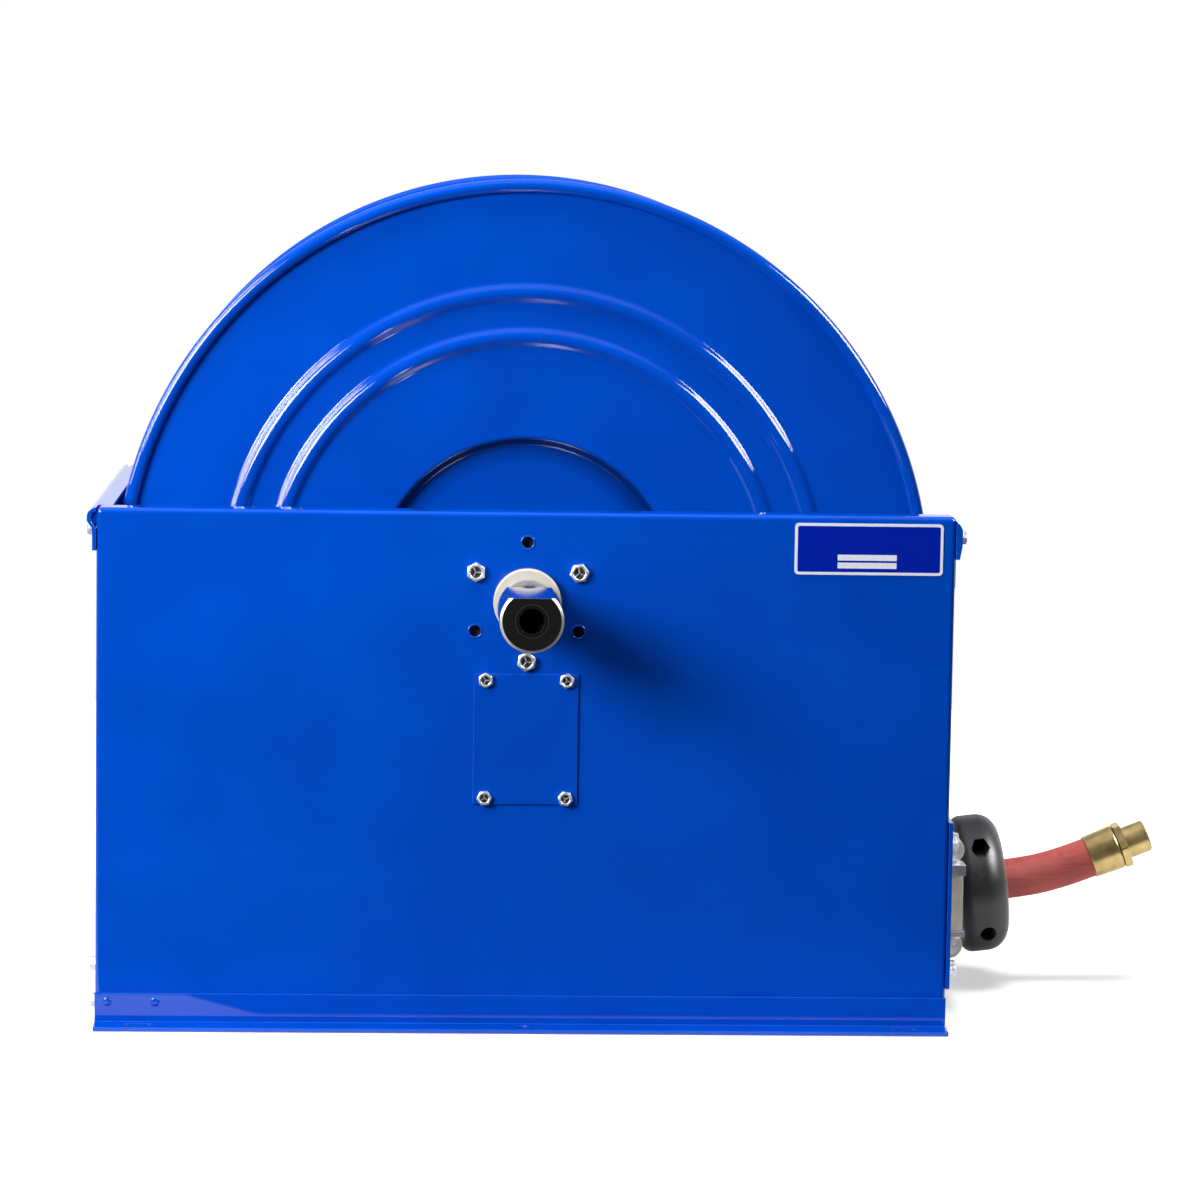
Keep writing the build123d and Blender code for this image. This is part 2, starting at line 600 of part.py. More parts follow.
def near_disc():
    """Pressed drum disc: central recess, two raised ribs and a wired bead round the rim."""
    face = -DRUM_WIDTH / 2 - DISC_SHEET
    outside = disc_outline(0.0)
    inside = disc_outline(DISC_SHEET)
    ends = [
        Line((0, face + RECESS_DEPTH), (0, face + RECESS_DEPTH + DISC_SHEET)),
        Line((DISC_RADIUS - RIM_BEAD / 2, face), (DISC_RADIUS - RIM_BEAD / 2, face + DISC_SHEET)),
    ]
    profile = make_face(outside + inside + ends)
    disc = revolve(profile, axis=Axis.Y)
    bead_centre = -DRUM_WIDTH / 2 - RIM_BEAD / 2
    bead = Pos(0, bead_centre, 0) * Rot(90, 0, 0) * Torus(DISC_RADIUS - RIM_BEAD / 2, RIM_BEAD / 2)
    disc = Pos(0, 0, AXIS_HEIGHT) * (disc + bead)
    disc -= hub_rod(AXLE_RADIUS + 0.1, -DRUM_WIDTH, 0)
    for x, z in tie_places():
        disc -= rod("y", TIE_RADIUS + BOLT_HOLE_GAP, -DRUM_WIDTH, 0, x, z)
    return disc


def tie_places():
    return circle_places(TIE_CIRCLE, TIE_COUNT, 45.0)


def drum_core():
    """Rolled sheet core between the discs, with a port where the hose's inner end comes out."""
    core = hub_ring(CORE_RADIUS, CORE_RADIUS - CORE_SHEET, -DRUM_WIDTH / 2, DRUM_WIDTH / 2)
    return core - rod("z", RISER_RADIUS + 7.0, AXIS_HEIGHT, AXIS_HEIGHT + CORE_RADIUS + 5, 0.0, riser_y())


def near_hub_plate():
    """Plate welded to the axle and clamped to the near disc's recess."""
    start = -RECESS_FACE + DISC_SHEET
    plate = hub_ring(HUB_PLATE_RADIUS, AXLE_RADIUS, start, start + HUB_PLATE_SHEET)
    for x, z in tie_places():
        plate -= rod("y", TIE_RADIUS + BOLT_HOLE_GAP, start - 1, start + HUB_PLATE_SHEET + 1, x, z)
    return plate


def drum_tie_bolts():
    """Long bolts that clamp the discs, the hub plate and the spring case together."""
    grip = 2 * RECESS_FACE + CASE_SHEET
    bolts = [fastener((x, -RECESS_FACE, z), (0, -1, 0), grip, TIE_RADIUS) for x, z in tie_places()]
    return Compound(children=bolts)


def hose_pack():
    """Outer shape of the hose wound on the core: full layers, and part of one more."""
    half = DRUM_WIDTH / 2 - HOSE_LAYER_GAP
    inner = CORE_RADIUS + HOSE_LAYER_GAP
    full = inner + (FULL_LAYERS - 1) * LAYER_PITCH + HOSE_DIAMETER
    pack = hub_rod(full, -half, half) + hub_rod(full + LAYER_PITCH, HOSE_DIAMETER / 2 + HOSE_LAYER_GAP, half)
    return pack - hub_rod(inner, -half - 1, half + 1)


# ---------------------------------------------------------------- spring motor, arbor and ratchet
def spring_case():
    """Cup on the far disc's recess that holds the power spring."""
    cup = hub_rod(CASE_RADIUS, CASE_BACK, CASE_FRONT) - hub_rod(CASE_RADIUS - CASE_SHEET, CASE_BACK + CASE_SHEET, CASE_FRONT + 1)
    for x, z in tie_places():
        cup -= rod("y", TIE_RADIUS + BOLT_HOLE_GAP, CASE_BACK - 1, CASE_BACK + CASE_SHEET + 1, x, z)
    return cup


def case_screw_places():
    return circle_places(CASE_RADIUS - CASE_SHEET - 5.0, 6, 0.0)


def far_bearing_span():
    return CASE_LID_FACE - BEARING_WIDTH, CASE_LID_FACE


def spring_case_lid():
    """Lid of the spring case, with the boss for the far bearing."""
    lid = hub_rod(CASE_RADIUS, CASE_FRONT, CASE_LID_FACE)
    start, end = far_bearing_span()
    lid += hub_rod(FAR_BEARING_OUTER + HOUSING_WALL, start - 2.0, CASE_FRONT)
    lid -= hub_rod(FAR_BEARING_OUTER, start, end + 1)
    lid -= hub_rod(ARBOR_RADIUS + 5.0, start - 3.0, start + 1)
    return lid


def ratchet_phase():
    """Angle of the tooth face that the pawl rests against, where its lift is along the face."""
    distance = math.hypot(PAWL_PIVOT_X, PAWL_PIVOT_DROP)
    pivot_angle = math.degrees(math.atan2(-PAWL_PIVOT_DROP, PAWL_PIVOT_X))
    return pivot_angle + math.degrees(math.acos(pawl_tip_radius() / distance))


def pawl_tip_radius():
    return RATCHET_ROOT_RADIUS + 0.8


def polar(radius, angle):
    """Point in the X, Z plane at a radius and an angle about the drum axis."""
    return radius * math.cos(math.radians(angle)), AXIS_HEIGHT + radius * math.sin(math.radians(angle))


def plate_from(points, y0, y1):
    """Flat plate with a straight-sided outline in the X, Z plane."""
    face = Plane.XZ * make_face(Polyline(*points, close=True))
    return Pos(0, y1, 0) * extrude(face, amount=y1 - y0)


def ratchet_wheel():
    """Saw-toothed wheel screwed to the lid of the spring case."""
    outline = []
    tooth = 360.0 / RATCHET_TEETH
    face_angle = ratchet_phase() + 0.9
    for index in range(RATCHET_TEETH):
        angle = face_angle + index * tooth
        outline += [polar(RATCHET_ROOT_RADIUS, angle), polar(RATCHET_RADIUS, angle + 0.4)]
    wheel = plate_from(outline, RATCHET_BACK, RATCHET_BACK + RATCHET_SHEET)
    return wheel - hub_rod(FAR_BEARING_OUTER - 3.0, RATCHET_BACK - 1, RATCHET_BACK + RATCHET_SHEET + 1)


def pawl():
    """Hooked pawl: its nose sits in a tooth of the ratchet wheel."""
    tip_angle = ratchet_phase()
    pivot_angle = math.degrees(math.atan2(-PAWL_PIVOT_DROP, PAWL_PIVOT_X))
    outer = RATCHET_RADIUS
    outline = [
        polar(outer + 7.4, pivot_angle + 2.6),
        polar(outer + 3.5, pivot_angle + 15.5),
        polar(outer - 2.2, tip_angle - 9.3),
        polar(pawl_tip_radius(), tip_angle),
        polar(outer + 2.0, tip_angle),
        polar(outer + 7.0, tip_angle - 5.5),
        polar(outer + 14.0, pivot_angle + 18.6),
        polar(outer + 20.0, pivot_angle + 4.0),
    ]
    y0, y1 = PAWL_Y, PAWL_Y + PAWL_SHEET
    boss = rod("y", PAWL_BOSS, y0, y1, *pawl_pivot())
    lever = plate_from(outline, y0, y1) + boss
    return lever - rod("y", PAWL_PIN_RADIUS + RUNNING_GAP, y0 - 1, y1 + 1, *pawl_pivot())


def pawl_pivot():
    return PAWL_PIVOT_X, AXIS_HEIGHT - PAWL_PIVOT_DROP


def pawl_pin():
    """Pivot pin riveted in the latch plate, with a shoulder and a head."""
    x, z = pawl_pivot()
    pin = rod("y", PAWL_PIN_RADIUS, PAWL_Y - 1.8, FAR_FACE, x, z)
    pin += rod("y", PAWL_PIN_RADIUS + 2.5, PAWL_Y - 1.8, PAWL_Y - 0.3, x, z)
    return pin + rod("y", PAWL_PIN_RADIUS + 2.0, PAWL_Y + PAWL_SHEET + 0.3, PAWL_Y + PAWL_SHEET + 2.3, x, z)


def pawl_spring():
    """Torsion spring round the pin, which presses the pawl into the ratchet wheel."""
    x, z = pawl_pivot()
    wire = 0.8
    start = PAWL_Y + PAWL_SHEET + 4.0
    path = Helix(pitch=2.4, height=9.6, radius=PAWL_PIN_RADIUS + 2.2)
    section = Plane(origin=path @ 0, z_dir=path % 0) * Circle(wire)
    coil = sweep(section, path=path)
    return Pos(x, start, z) * Rot(-90, 0, 0) * coil


def spring_arbor():
    """Dead arbor on a flange bolted inside the far panel; it carries the far bearing."""
    wall = FAR_FACE - SHEET
    flange = hub_rod(HOUSING_FLANGE_RADIUS, wall - HOUSING_FLANGE_SHEET, wall)
    shaft = hub_rod(ARBOR_RADIUS, CASE_BACK + CASE_SHEET + 9.0, wall - HOUSING_FLANGE_SHEET)
    arbor = flange + shaft
    for x, z in circle_places(BOLT_CIRCLE_RADIUS, 2 * FLANGE_BOLTS, 30.0):
        arbor -= rod("y", LARGE_BOLT + BOLT_HOLE_GAP, wall - HOUSING_FLANGE_SHEET - 1, wall + 1, x, z)
    return arbor


def power_spring():
    """Flat spiral spring, drawn as half turns about two centres; its outer end meets the case wall."""
    edges = []
    radius = SPRING_INNER_RADIUS
    half_turns = 2 * SPRING_TURNS
    reach = CASE_RADIUS - CASE_SHEET - SPRING_END_GAP - SPRING_STRIP
    step = (reach - SPRING_INNER_RADIUS) / (half_turns - 0.5)
    for index in range(half_turns):
        centre = 0.0 if index % 2 == 0 else step
        start = 0 if index % 2 == 0 else 180
        for wall in (0.0, SPRING_STRIP):
            edges.append(CenterArc((centre, 0), radius + wall, start, 180))
        radius += step
    last = radius - step
    edges.append(Line((SPRING_INNER_RADIUS, 0), (SPRING_INNER_RADIUS + SPRING_STRIP, 0)))
    end_centre = step if half_turns % 2 == 0 else 0.0
    side = 1 if half_turns % 2 == 0 else -1
    edges.append(Line((end_centre + side * last, 0), (end_centre + side * (last + SPRING_STRIP), 0)))
    strip = Plane.XZ * make_face(edges)
    start = CASE_BACK + CASE_SHEET + 8.0
    end = far_bearing_span()[0] - 4.0
    return Pos(-step / 2, end, AXIS_HEIGHT) * extrude(strip, amount=end - start)


# ---------------------------------------------------------------- hose guide
def bracket_screw_y():
    return GUIDE_OPENING_WIDTH / 2 + BRACKET_SCREW_INSET


def bracket_screw_heights():
    return GUIDE_LOW - BRACKET_SCREW_OFFSET, GUIDE_HIGH + BRACKET_SCREW_OFFSET


def upright_top():
    return GUIDE_HEIGHT + UPRIGHT_SPAN / 2


def upright_bottom():
    return GUIDE_HEIGHT - UPRIGHT_SPAN / 2


def level_roller_heights():
    return GUIDE_LOW - LEVEL_ROLLER_RADIUS, GUIDE_HIGH + LEVEL_ROLLER_RADIUS


def near_guide_bracket():
    """Bracket at one end of the guide: it holds the upright roller and one end of each level roller."""
    low, high = GUIDE_LOW - BRACKET_BELOW, GUIDE_HIGH + BRACKET_ABOVE
    outer = -GUIDE_OPENING_WIDTH / 2 - GUIDE_WINDOW_MARGIN - BRACKET_WIDTH
    bracket = slab(GUIDE_PLATE_FACE, BRACKET_FACE, outer, -EAR_Y, low, high)
    relief = -UPRIGHT_ROLLER_Y - UPRIGHT_ROLLER_RADIUS - 1.0
    bracket -= slab(GUIDE_PLATE_FACE - 1, BRACKET_FACE + 1, relief, 0, upright_bottom(), upright_top())
    tip = LEVEL_ROLLER_X + EAR_FRONT_MARGIN
    block_front = UPRIGHT_ROLLER_X + UPRIGHT_ROLLER_RADIUS + BLOCK_FRONT_MARGIN
    block_outer = -UPRIGHT_ROLLER_Y - BLOCK_OVERHANG
    ear_face = -EAR_Y - BRACKET_SHEET
    for z0, z1, corner in (
        (GUIDE_HIGH, GUIDE_HIGH + UPPER_EAR_HEIGHT, -1), (GUIDE_LOW - LOWER_EAR_HEIGHT, GUIDE_LOW, 0),
    ):
        ear = slab(GUIDE_PLATE_FACE, tip, ear_face, -EAR_Y, z0, z1)
        bracket += fillet(ear.edges().filter_by(Axis.Y).group_by(Axis.X)[-1].sort_by(Axis.Z)[corner], EAR_CORNER)
    for z0, z1 in ((upright_top(), upright_top() + UPPER_BLOCK), (upright_bottom() - LOWER_BLOCK, upright_bottom())):
        bracket += slab(GUIDE_PLATE_FACE, block_front, block_outer, ear_face, z0, z1)
    for z in level_roller_heights():
        bracket -= rod("y", ROLLER_PIN_RADIUS + 0.1, ear_face - 1, -EAR_Y + 1, LEVEL_ROLLER_X, z)
    bracket -= rod("z", ROLLER_PIN_RADIUS + 0.1, low, high, UPRIGHT_ROLLER_X, -UPRIGHT_ROLLER_Y)
    for z in bracket_screw_heights():
        place = Plane(origin=(BRACKET_FACE, -bracket_screw_y(), z), z_dir=(1, 0, 0))
        bracket -= place * CounterSinkHole(SMALL_BOLT + 0.1, SMALL_BOLT * 2, BRACKET_SHEET + 1, 90)
    return bracket


def bracket_screws():
    """Countersunk screws that hold the guide brackets to the front plate."""
    screws = []
    nut_outline = RegularPolygon(HEAD_PER_BOLT * SMALL_BOLT / 2, 6, major_radius=False)
    for side in (-1, 1):
        for z in bracket_screw_heights():
            head = Pos(0, 0, -SMALL_BOLT / 2) * Cone(SMALL_BOLT, SMALL_BOLT * 2, SMALL_BOLT)
            shank = Pos(0, 0, -BRACKET_SCREW_LENGTH / 2) * Cylinder(SMALL_BOLT, BRACKET_SCREW_LENGTH)
            nut_base = -BRACKET_SHEET - SHEET - BRACKET_NUT_HEIGHT
            nut = Pos(0, 0, nut_base) * extrude(nut_outline, amount=BRACKET_NUT_HEIGHT)
            place = Plane(origin=(BRACKET_FACE, side * bracket_screw_y(), z), z_dir=(1, 0, 0))
            screws.append(place * (head + shank + nut))
    return Compound(children=screws)


def level_roller(height):
    """Level roller with a bore for its pin."""
    half = EAR_Y - 0.5
    roller = rod("y", LEVEL_ROLLER_RADIUS, -half, half, LEVEL_ROLLER_X, height)
    roller = chamfer(roller.edges().filter_by(GeomType.CIRCLE), 1.0)
    return roller - rod("y", ROLLER_PIN_RADIUS + RUNNING_GAP, -half - 1, half + 1, LEVEL_ROLLER_X, height)


def upright_roller():
    """Upright roller at the near end of the guide."""
    low, high = upright_bottom() + 0.3, upright_top() - 0.3
    roller = rod("z", UPRIGHT_ROLLER_RADIUS, low, high, UPRIGHT_ROLLER_X, -UPRIGHT_ROLLER_Y)
    roller = chamfer(roller.edges().filter_by(GeomType.CIRCLE), 1.0)
    return roller - rod("z", ROLLER_PIN_RADIUS + RUNNING_GAP, low - 1, high + 1, UPRIGHT_ROLLER_X, -UPRIGHT_ROLLER_Y)


def roller_pins():
    """Headed pins of the four rollers."""
    pins = []
    reach = EAR_Y + BRACKET_SHEET
    head = ROLLER_PIN_RADIUS + 2.0
    for z in level_roller_heights():
        pin = rod("y", ROLLER_PIN_RADIUS, -reach, reach, LEVEL_ROLLER_X, z)
        for y0, y1 in ((-reach - PIN_HEAD_HEIGHT, -reach), (reach, reach + PIN_HEAD_HEIGHT)):
            pin += rod("y", head, y0, y1, LEVEL_ROLLER_X, z)
        pins.append(pin)
    top = upright_top() + UPPER_BLOCK
    bottom = upright_bottom() - LOWER_BLOCK
    for y in (-UPRIGHT_ROLLER_Y, UPRIGHT_ROLLER_Y):
        pin = rod("z", ROLLER_PIN_RADIUS, bottom, top, UPRIGHT_ROLLER_X, y)
        pin += rod("z", head, top, top + PIN_HEAD_HEIGHT, UPRIGHT_ROLLER_X, y)
        pin += rod("z", head, bottom - PIN_HEAD_HEIGHT, bottom, UPRIGHT_ROLLER_X, y)
        pins.append(pin)
    return Compound(children=pins)


# ---------------------------------------------------------------- hose end
def route_radii():
    """Largest arc that each corner's two runs leave room for."""
    points = [Vector(*point) for point in HOSE_ROUTE]
    radii = []
    for before, corner, after in zip(points, points[1:], points[2:]):
        turn = (corner - before).get_angle(after - corner)
        shorter = min((corner - before).length, (after - corner).length)
        radii.append(0.45 * shorter / math.tan(math.radians(turn / 2)))
    return radii


def hose_lead():
    """Free hose from the last wrap, over the lower roller, to the fitting."""
    radii = route_radii()
    print("hose corner radii", [round(radius) for radius in radii])
    path = FilletPolyline(*HOSE_ROUTE, radius=radii)
    section = Plane(origin=path @ 0, z_dir=path % 0) * Circle(HOSE_DIAMETER / 2)
    tube = sweep(section, path=path)
    print("hose length", round(path.length, 1), "volume ratio", round(tube.volume / (section.area * path.length), 4))
    return tube


def bumper_plane():
    """Frame of the bumper: on the hose, just in front of the guide, with Z along the hose."""
    start, end = Vector(*HOSE_ROUTE[4]), Vector(*HOSE_ROUTE[5])
    along = (end - start).normalized()
    centre = start + along * ((bumper_x() - start.X) / along.X)
    return Plane(origin=centre, x_dir=(0, 1, 0), z_dir=along)


def bumper_x():
    return LEVEL_ROLLER_X + LEVEL_ROLLER_RADIUS + BUMPER_WIDTH / 2 + 6.3


def bumper_halves():
    """Split stop clamped on the hose: it comes to rest against the guide rollers."""
    half = BUMPER_WIDTH / 2
    ring = Cylinder(BUMPER_RADIUS, BUMPER_WIDTH)
    ring = fillet(ring.edges().group_by(Axis.Z)[-1], BUMPER_FRONT_ROUND)
    ring = fillet(ring.edges().group_by(Axis.Z)[0], BUMPER_BACK_ROUND)
    ring -= Cylinder(HOSE_DIAMETER / 2 + BUMPER_BORE_GAP, BUMPER_WIDTH + 2)
    for side in (-1, 1):
        ring -= Pos(0, side * BUMPER_SCREW_OFFSET, 0) * Rot(0, 90, 0) * Cylinder(BUMPER_SCREW_RADIUS + 0.3, 2 * BUMPER_RADIUS)
    split = BUMPER_SPLIT_GAP / 2
    halves = []
    for side in (-1, 1):
        keep = Pos(side * (split + BUMPER_RADIUS), 0, 0) * Box(2 * BUMPER_RADIUS, 4 * BUMPER_RADIUS, 4 * half)
        piece = ring & keep
        for row in (-1, 1):
            place = Pos(side * 16.0, row * BUMPER_SCREW_OFFSET, 0) * Rot(0, 90 * side, 0)
            if row == -side:
                pocket = extrude(RegularPolygon(6.6, 6, major_radius=False), amount=BUMPER_RADIUS)
            else:
                pocket = extrude(Circle(6.4), amount=BUMPER_RADIUS)
            piece -= place * pocket
        halves.append(bumper_plane() * piece)
    return halves


def bumper_screws():
    """Two screws and nuts that clamp the bumper's halves on the hose."""
    screws = []
    for row in (-1, 1):
        shank = Rot(0, 90, 0) * Cylinder(BUMPER_SCREW_RADIUS, 38.0)
        head = Pos(row * 18.0, 0, 0) * Rot(0, 90, 0) * Cylinder(5.6, 4.0)
        nut = Pos(-row * 16.0, 0, 0) * Rot(0, -90 * row, 0) * extrude(RegularPolygon(5.6, 6, major_radius=False), amount=4.0)
        screws.append(bumper_plane() * Pos(0, row * BUMPER_SCREW_OFFSET, 0) * (shank + head + nut))
    return Compound(children=screws)


def fitting_plane():
    """Frame at the end of the hose, with Z along it."""
    start, end = Vector(*HOSE_ROUTE[-2]), Vector(*HOSE_ROUTE[-1])
    return Plane(origin=end, x_dir=(0, 1, 0), z_dir=(end - start).normalized())


def hose_ferrule():
    """Brass ferrule crimped over the end of the hose, slightly narrower at its rear."""
    shell = Pos(0, 0, FERRULE_LENGTH / 2) * Cone(FERRULE_TIP_RADIUS, FERRULE_RADIUS, FERRULE_LENGTH)
    shell = fillet(shell.edges().group_by(Axis.Z)[-1], FERRULE_SHOULDER)
    shell = fillet(shell.edges().group_by(Axis.Z)[0], 0.6)
    bore = Pos(0, 0, FERRULE_LENGTH / 2) * Cylinder(NIPPLE_BORE + 2.0, FERRULE_LENGTH + 2)
    return fitting_plane() * (shell - bore)


def hose_nipple():
    """Brass fitting: stem inside the ferrule, hexagonal flange and smooth nipple end."""
    flange_start = FERRULE_LENGTH + FLANGE_GAP
    stem = Pos(0, 0, flange_start / 2) * Cylinder(NIPPLE_BORE + 2.0, flange_start)
    hexagon = extrude(RegularPolygon(FLANGE_ACROSS / 2, 6, major_radius=False), amount=FLANGE_WIDTH)
    rounding = Pos(0, 0, FLANGE_WIDTH / 2) * Cylinder(FLANGE_ACROSS / 2 * 1.13, FLANGE_WIDTH)
    flange = hexagon & chamfer(rounding.edges().filter_by(GeomType.CIRCLE), 0.8)
    end = Pos(0, 0, FLANGE_WIDTH + NIPPLE_LENGTH / 2) * Cylinder(NIPPLE_RADIUS, NIPPLE_LENGTH)
    end = chamfer(end.edges().group_by(Axis.Z)[-1], 1.2)
    length = flange_start + FLANGE_WIDTH + NIPPLE_LENGTH
    bore = Pos(0, 0, length / 2) * Cylinder(NIPPLE_BORE, length + 2)
    return fitting_plane() * (stem + Pos(0, 0, flange_start) * (flange + end) - bore)


# ---------------------------------------------------------------- the assembly
near_outer_ring, near_inner_ring = bearing_rings(NEAR_BEARING_OUTER, AXLE_RADIUS, near_bearing_span())
far_outer_ring, far_inner_ring = bearing_rings(FAR_BEARING_OUTER, ARBOR_RADIUS, far_bearing_span())
bumper_far_half, bumper_near_half = bumper_halves()[::-1]
PANEL = side_panel()
FOOT = foot_angle()
BRACKET = near_guide_bracket()
UPRIGHT = upright_roller()

NODES = {
    "near_side_panel": PANEL,
    "far_side_panel": far_side(PANEL),
    "near_foot_angle": FOOT,
    "far_foot_angle": far_side(FOOT),
    "rear_top_member": rear_top_member(),
    "rear_lower_member": rear_lower_member(),
    "front_top_tie": front_top_tie(),
    "front_guide_plate": front_guide_plate(),
    "frame_bolts": frame_bolts(),
    "near_bearing_housing": near_bearing_housing(),
    "bearing_housing_bolts": flange_bolt_set(NEAR_FACE, -1, SHEET + HOUSING_FLANGE_SHEET),
    "near_bearing_outer_ring": near_outer_ring,
    "near_bearing_inner_ring": near_inner_ring,
    "axle_collar": axle_collar(),
    "hollow_axle": hollow_axle(),
    "gooseneck_riser": gooseneck_riser(),
    "swivel_body": swivel_body(),
    "swivel_seal": swivel_seal(),
    "swivel_snap_ring": swivel_snap_ring(),
    "cover_plate": cover_plate(COVER_SHEET, NEAR_FACE, -1),
    "cover_plate_bolts": plate_bolts(NEAR_FACE, -1, COVER_SHEET),
    "nameplate": nameplate(),
    "near_disc": near_disc(),
    "far_disc": far_side(near_disc()),
    "drum_core": drum_core(),
    "near_hub_plate": near_hub_plate(),
    "drum_tie_bolts": drum_tie_bolts(),
    "hose_pack": hose_pack(),
    "spring_case": spring_case(),
    "spring_case_lid": spring_case_lid(),
    "power_spring": power_spring(),
    "ratchet_wheel": ratchet_wheel(),
    "pawl": pawl(),
    "pawl_pin": pawl_pin(),
    "pawl_spring": pawl_spring(),
    "latch_plate": cover_plate(SHEET, FAR_FACE, 1),
    "latch_plate_bolts": plate_bolts(FAR_FACE, 1, SHEET),
    "spring_arbor": spring_arbor(),
    "arbor_bolts": flange_bolt_set(FAR_FACE, 1, SHEET + HOUSING_FLANGE_SHEET),
    "far_bearing_outer_ring": far_outer_ring,
    "far_bearing_inner_ring": far_inner_ring,
    "near_guide_bracket": BRACKET,
    "far_guide_bracket": far_side(BRACKET),
    "bracket_screws": bracket_screws(),
    "lower_roller": level_roller(level_roller_heights()[0]),
    "upper_roller": level_roller(level_roller_heights()[1]),
    "near_roller": UPRIGHT,
    "far_roller": far_side(UPRIGHT),
    "roller_pins": roller_pins(),
    "hose_lead": hose_lead(),
    "bumper_near_half": bumper_near_half,
    "bumper_far_half": bumper_far_half,
    "bumper_screws": bumper_screws(),
    "hose_ferrule": hose_ferrule(),
    "hose_nipple": hose_nipple(),
}

os.makedirs("parts", exist_ok=True)
for name, shape in NODES.items():
    export_step(shape, f"parts/{name}.step")
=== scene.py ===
import math

import bmesh
import bpy
from mathutils import Matrix, Vector


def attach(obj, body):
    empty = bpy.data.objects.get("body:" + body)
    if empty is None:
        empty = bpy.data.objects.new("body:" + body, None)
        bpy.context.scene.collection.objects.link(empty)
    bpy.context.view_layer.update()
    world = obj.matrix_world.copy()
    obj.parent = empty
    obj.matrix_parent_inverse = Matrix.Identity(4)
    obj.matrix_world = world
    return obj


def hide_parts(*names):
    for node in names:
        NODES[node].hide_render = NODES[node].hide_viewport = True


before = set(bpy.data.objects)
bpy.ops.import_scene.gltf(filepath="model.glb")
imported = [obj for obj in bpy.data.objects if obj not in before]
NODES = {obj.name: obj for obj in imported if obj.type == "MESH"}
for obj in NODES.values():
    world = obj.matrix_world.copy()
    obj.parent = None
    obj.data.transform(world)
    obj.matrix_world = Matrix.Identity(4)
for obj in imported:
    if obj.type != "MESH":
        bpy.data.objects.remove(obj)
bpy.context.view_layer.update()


# ------------------------------------------------------------------ camera
# A long lens on a tripod, a little left of the reel and a hand above it, turned slightly
# to the right and tipped down. The view is square, so the sensor is too.
camera_place = Vector((-0.0969, -3.495, 0.6944))
turn_right, tip_down, lean = 0.04576, 0.11164, 0.01563
camera_data = bpy.data.cameras.new("reel_camera")
camera_data.lens = 133.8
camera_data.sensor_width = 36.0
camera_data.clip_end = 60.0
camera = bpy.data.objects.new("reel_camera", camera_data)
bpy.context.scene.collection.objects.link(camera)
ahead = Vector((
    math.sin(turn_right) * math.cos(tip_down), math.cos(turn_right) * math.cos(tip_down), -math.sin(tip_down),
))
level_right = Vector((math.cos(turn_right), -math.sin(turn_right), 0.0))
level_up = level_right.cross(ahead)
right = level_right * math.cos(lean) + level_up * math.sin(lean)
up = level_up * math.cos(lean) - level_right * math.sin(lean)
camera.matrix_world = Matrix.Translation(camera_place) @ Matrix((right, up, -ahead)).transposed().to_4x4()
bpy.context.scene.camera = camera


# ------------------------------------------------------------------ studio
# A plain white room: the wall behind is lit, the side behind the camera is dark. A soft box on the
# left, a faint one on the right and one overhead light the reel. A white panel on each side, the left
# one with brighter strips at its edges, only shows in what mirrors it, and draws the lines on the ribs.
def linear(hex_colour):
    """sRGB hex to the linear colour that a shader socket takes."""
    channels = [int(hex_colour[i:i + 2], 16) / 255 for i in (0, 2, 4)]
    return [c / 12.92 if c <= 0.04045 else ((c + 0.055) / 1.055) ** 2.4 for c in channels] + [1.0]


def add_node(tree, kind, settings=None, **inputs):
    """One shader node: attributes from settings, then inputs by name, each a value or a socket to link."""
    node = tree.nodes.new(kind)
    for key, value in (settings or {}).items():
        setattr(node, key, value)
    for key, value in inputs.items():
        socket = node.inputs[int(key[1:]) if key[0] == "_" and key[1:].isdigit() else key.replace("_", " ")]
        if isinstance(value, bpy.types.NodeSocket):
            tree.links.new(value, socket)
        else:
            socket.default_value = value
    return node


world = bpy.data.worlds.new("white_studio")
bpy.context.scene.world = world
world.use_nodes = True
sky = world.node_tree
sky.nodes.clear()
rays = add_node(sky, "ShaderNodeLightPath")
direction = add_node(sky, "ShaderNodeTexCoord")
split = add_node(sky, "ShaderNodeSeparateXYZ", _0=direction.outputs["Generated"])
far_wall = add_node(sky, "ShaderNodeMapRange", _0=split.outputs["Y"], _1=0.1, _2=0.55, _3=0.015, _4=1.0)
wall_top = add_node(sky, "ShaderNodeMapRange", _0=split.outputs["Z"], _1=0.35, _2=0.6, _3=1.0, _4=0.2)
wall = add_node(sky, "ShaderNodeMath", {"operation": "MULTIPLY"}, _0=far_wall.outputs[0], _1=wall_top.outputs[0])
ceiling = add_node(sky, "ShaderNodeMapRange", _0=split.outputs["Z"], _1=0.7, _2=0.93, _3=0.015, _4=0.6)
behind = add_node(sky, "ShaderNodeMath", {"operation": "MAXIMUM"}, _0=wall.outputs[0], _1=ceiling.outputs[0])
seen = add_node(
    sky, "ShaderNodeMath", {"operation": "MAXIMUM"},
    _0=rays.outputs["Is Camera Ray"], _1=rays.outputs["Is Transmission Ray"],
)
mirror_level = add_node(
    sky, "ShaderNodeMath", {"operation": "MULTIPLY"}, _0=rays.outputs["Is Glossy Ray"], _1=behind.outputs[0],
)
bright = add_node(sky, "ShaderNodeMath", {"operation": "MAXIMUM"}, _0=seen.outputs[0], _1=mirror_level.outputs[0])
room_level = add_node(sky, "ShaderNodeMath", {"operation": "MULTIPLY"}, _0=rays.outputs["Is Diffuse Ray"], _1=0.09)
level = add_node(sky, "ShaderNodeMath", {"operation": "MAXIMUM"}, _0=bright.outputs[0], _1=room_level.outputs[0])
backdrop = add_node(sky, "ShaderNodeBackground", Color=linear("FFFFFF"), Strength=level.outputs[0])
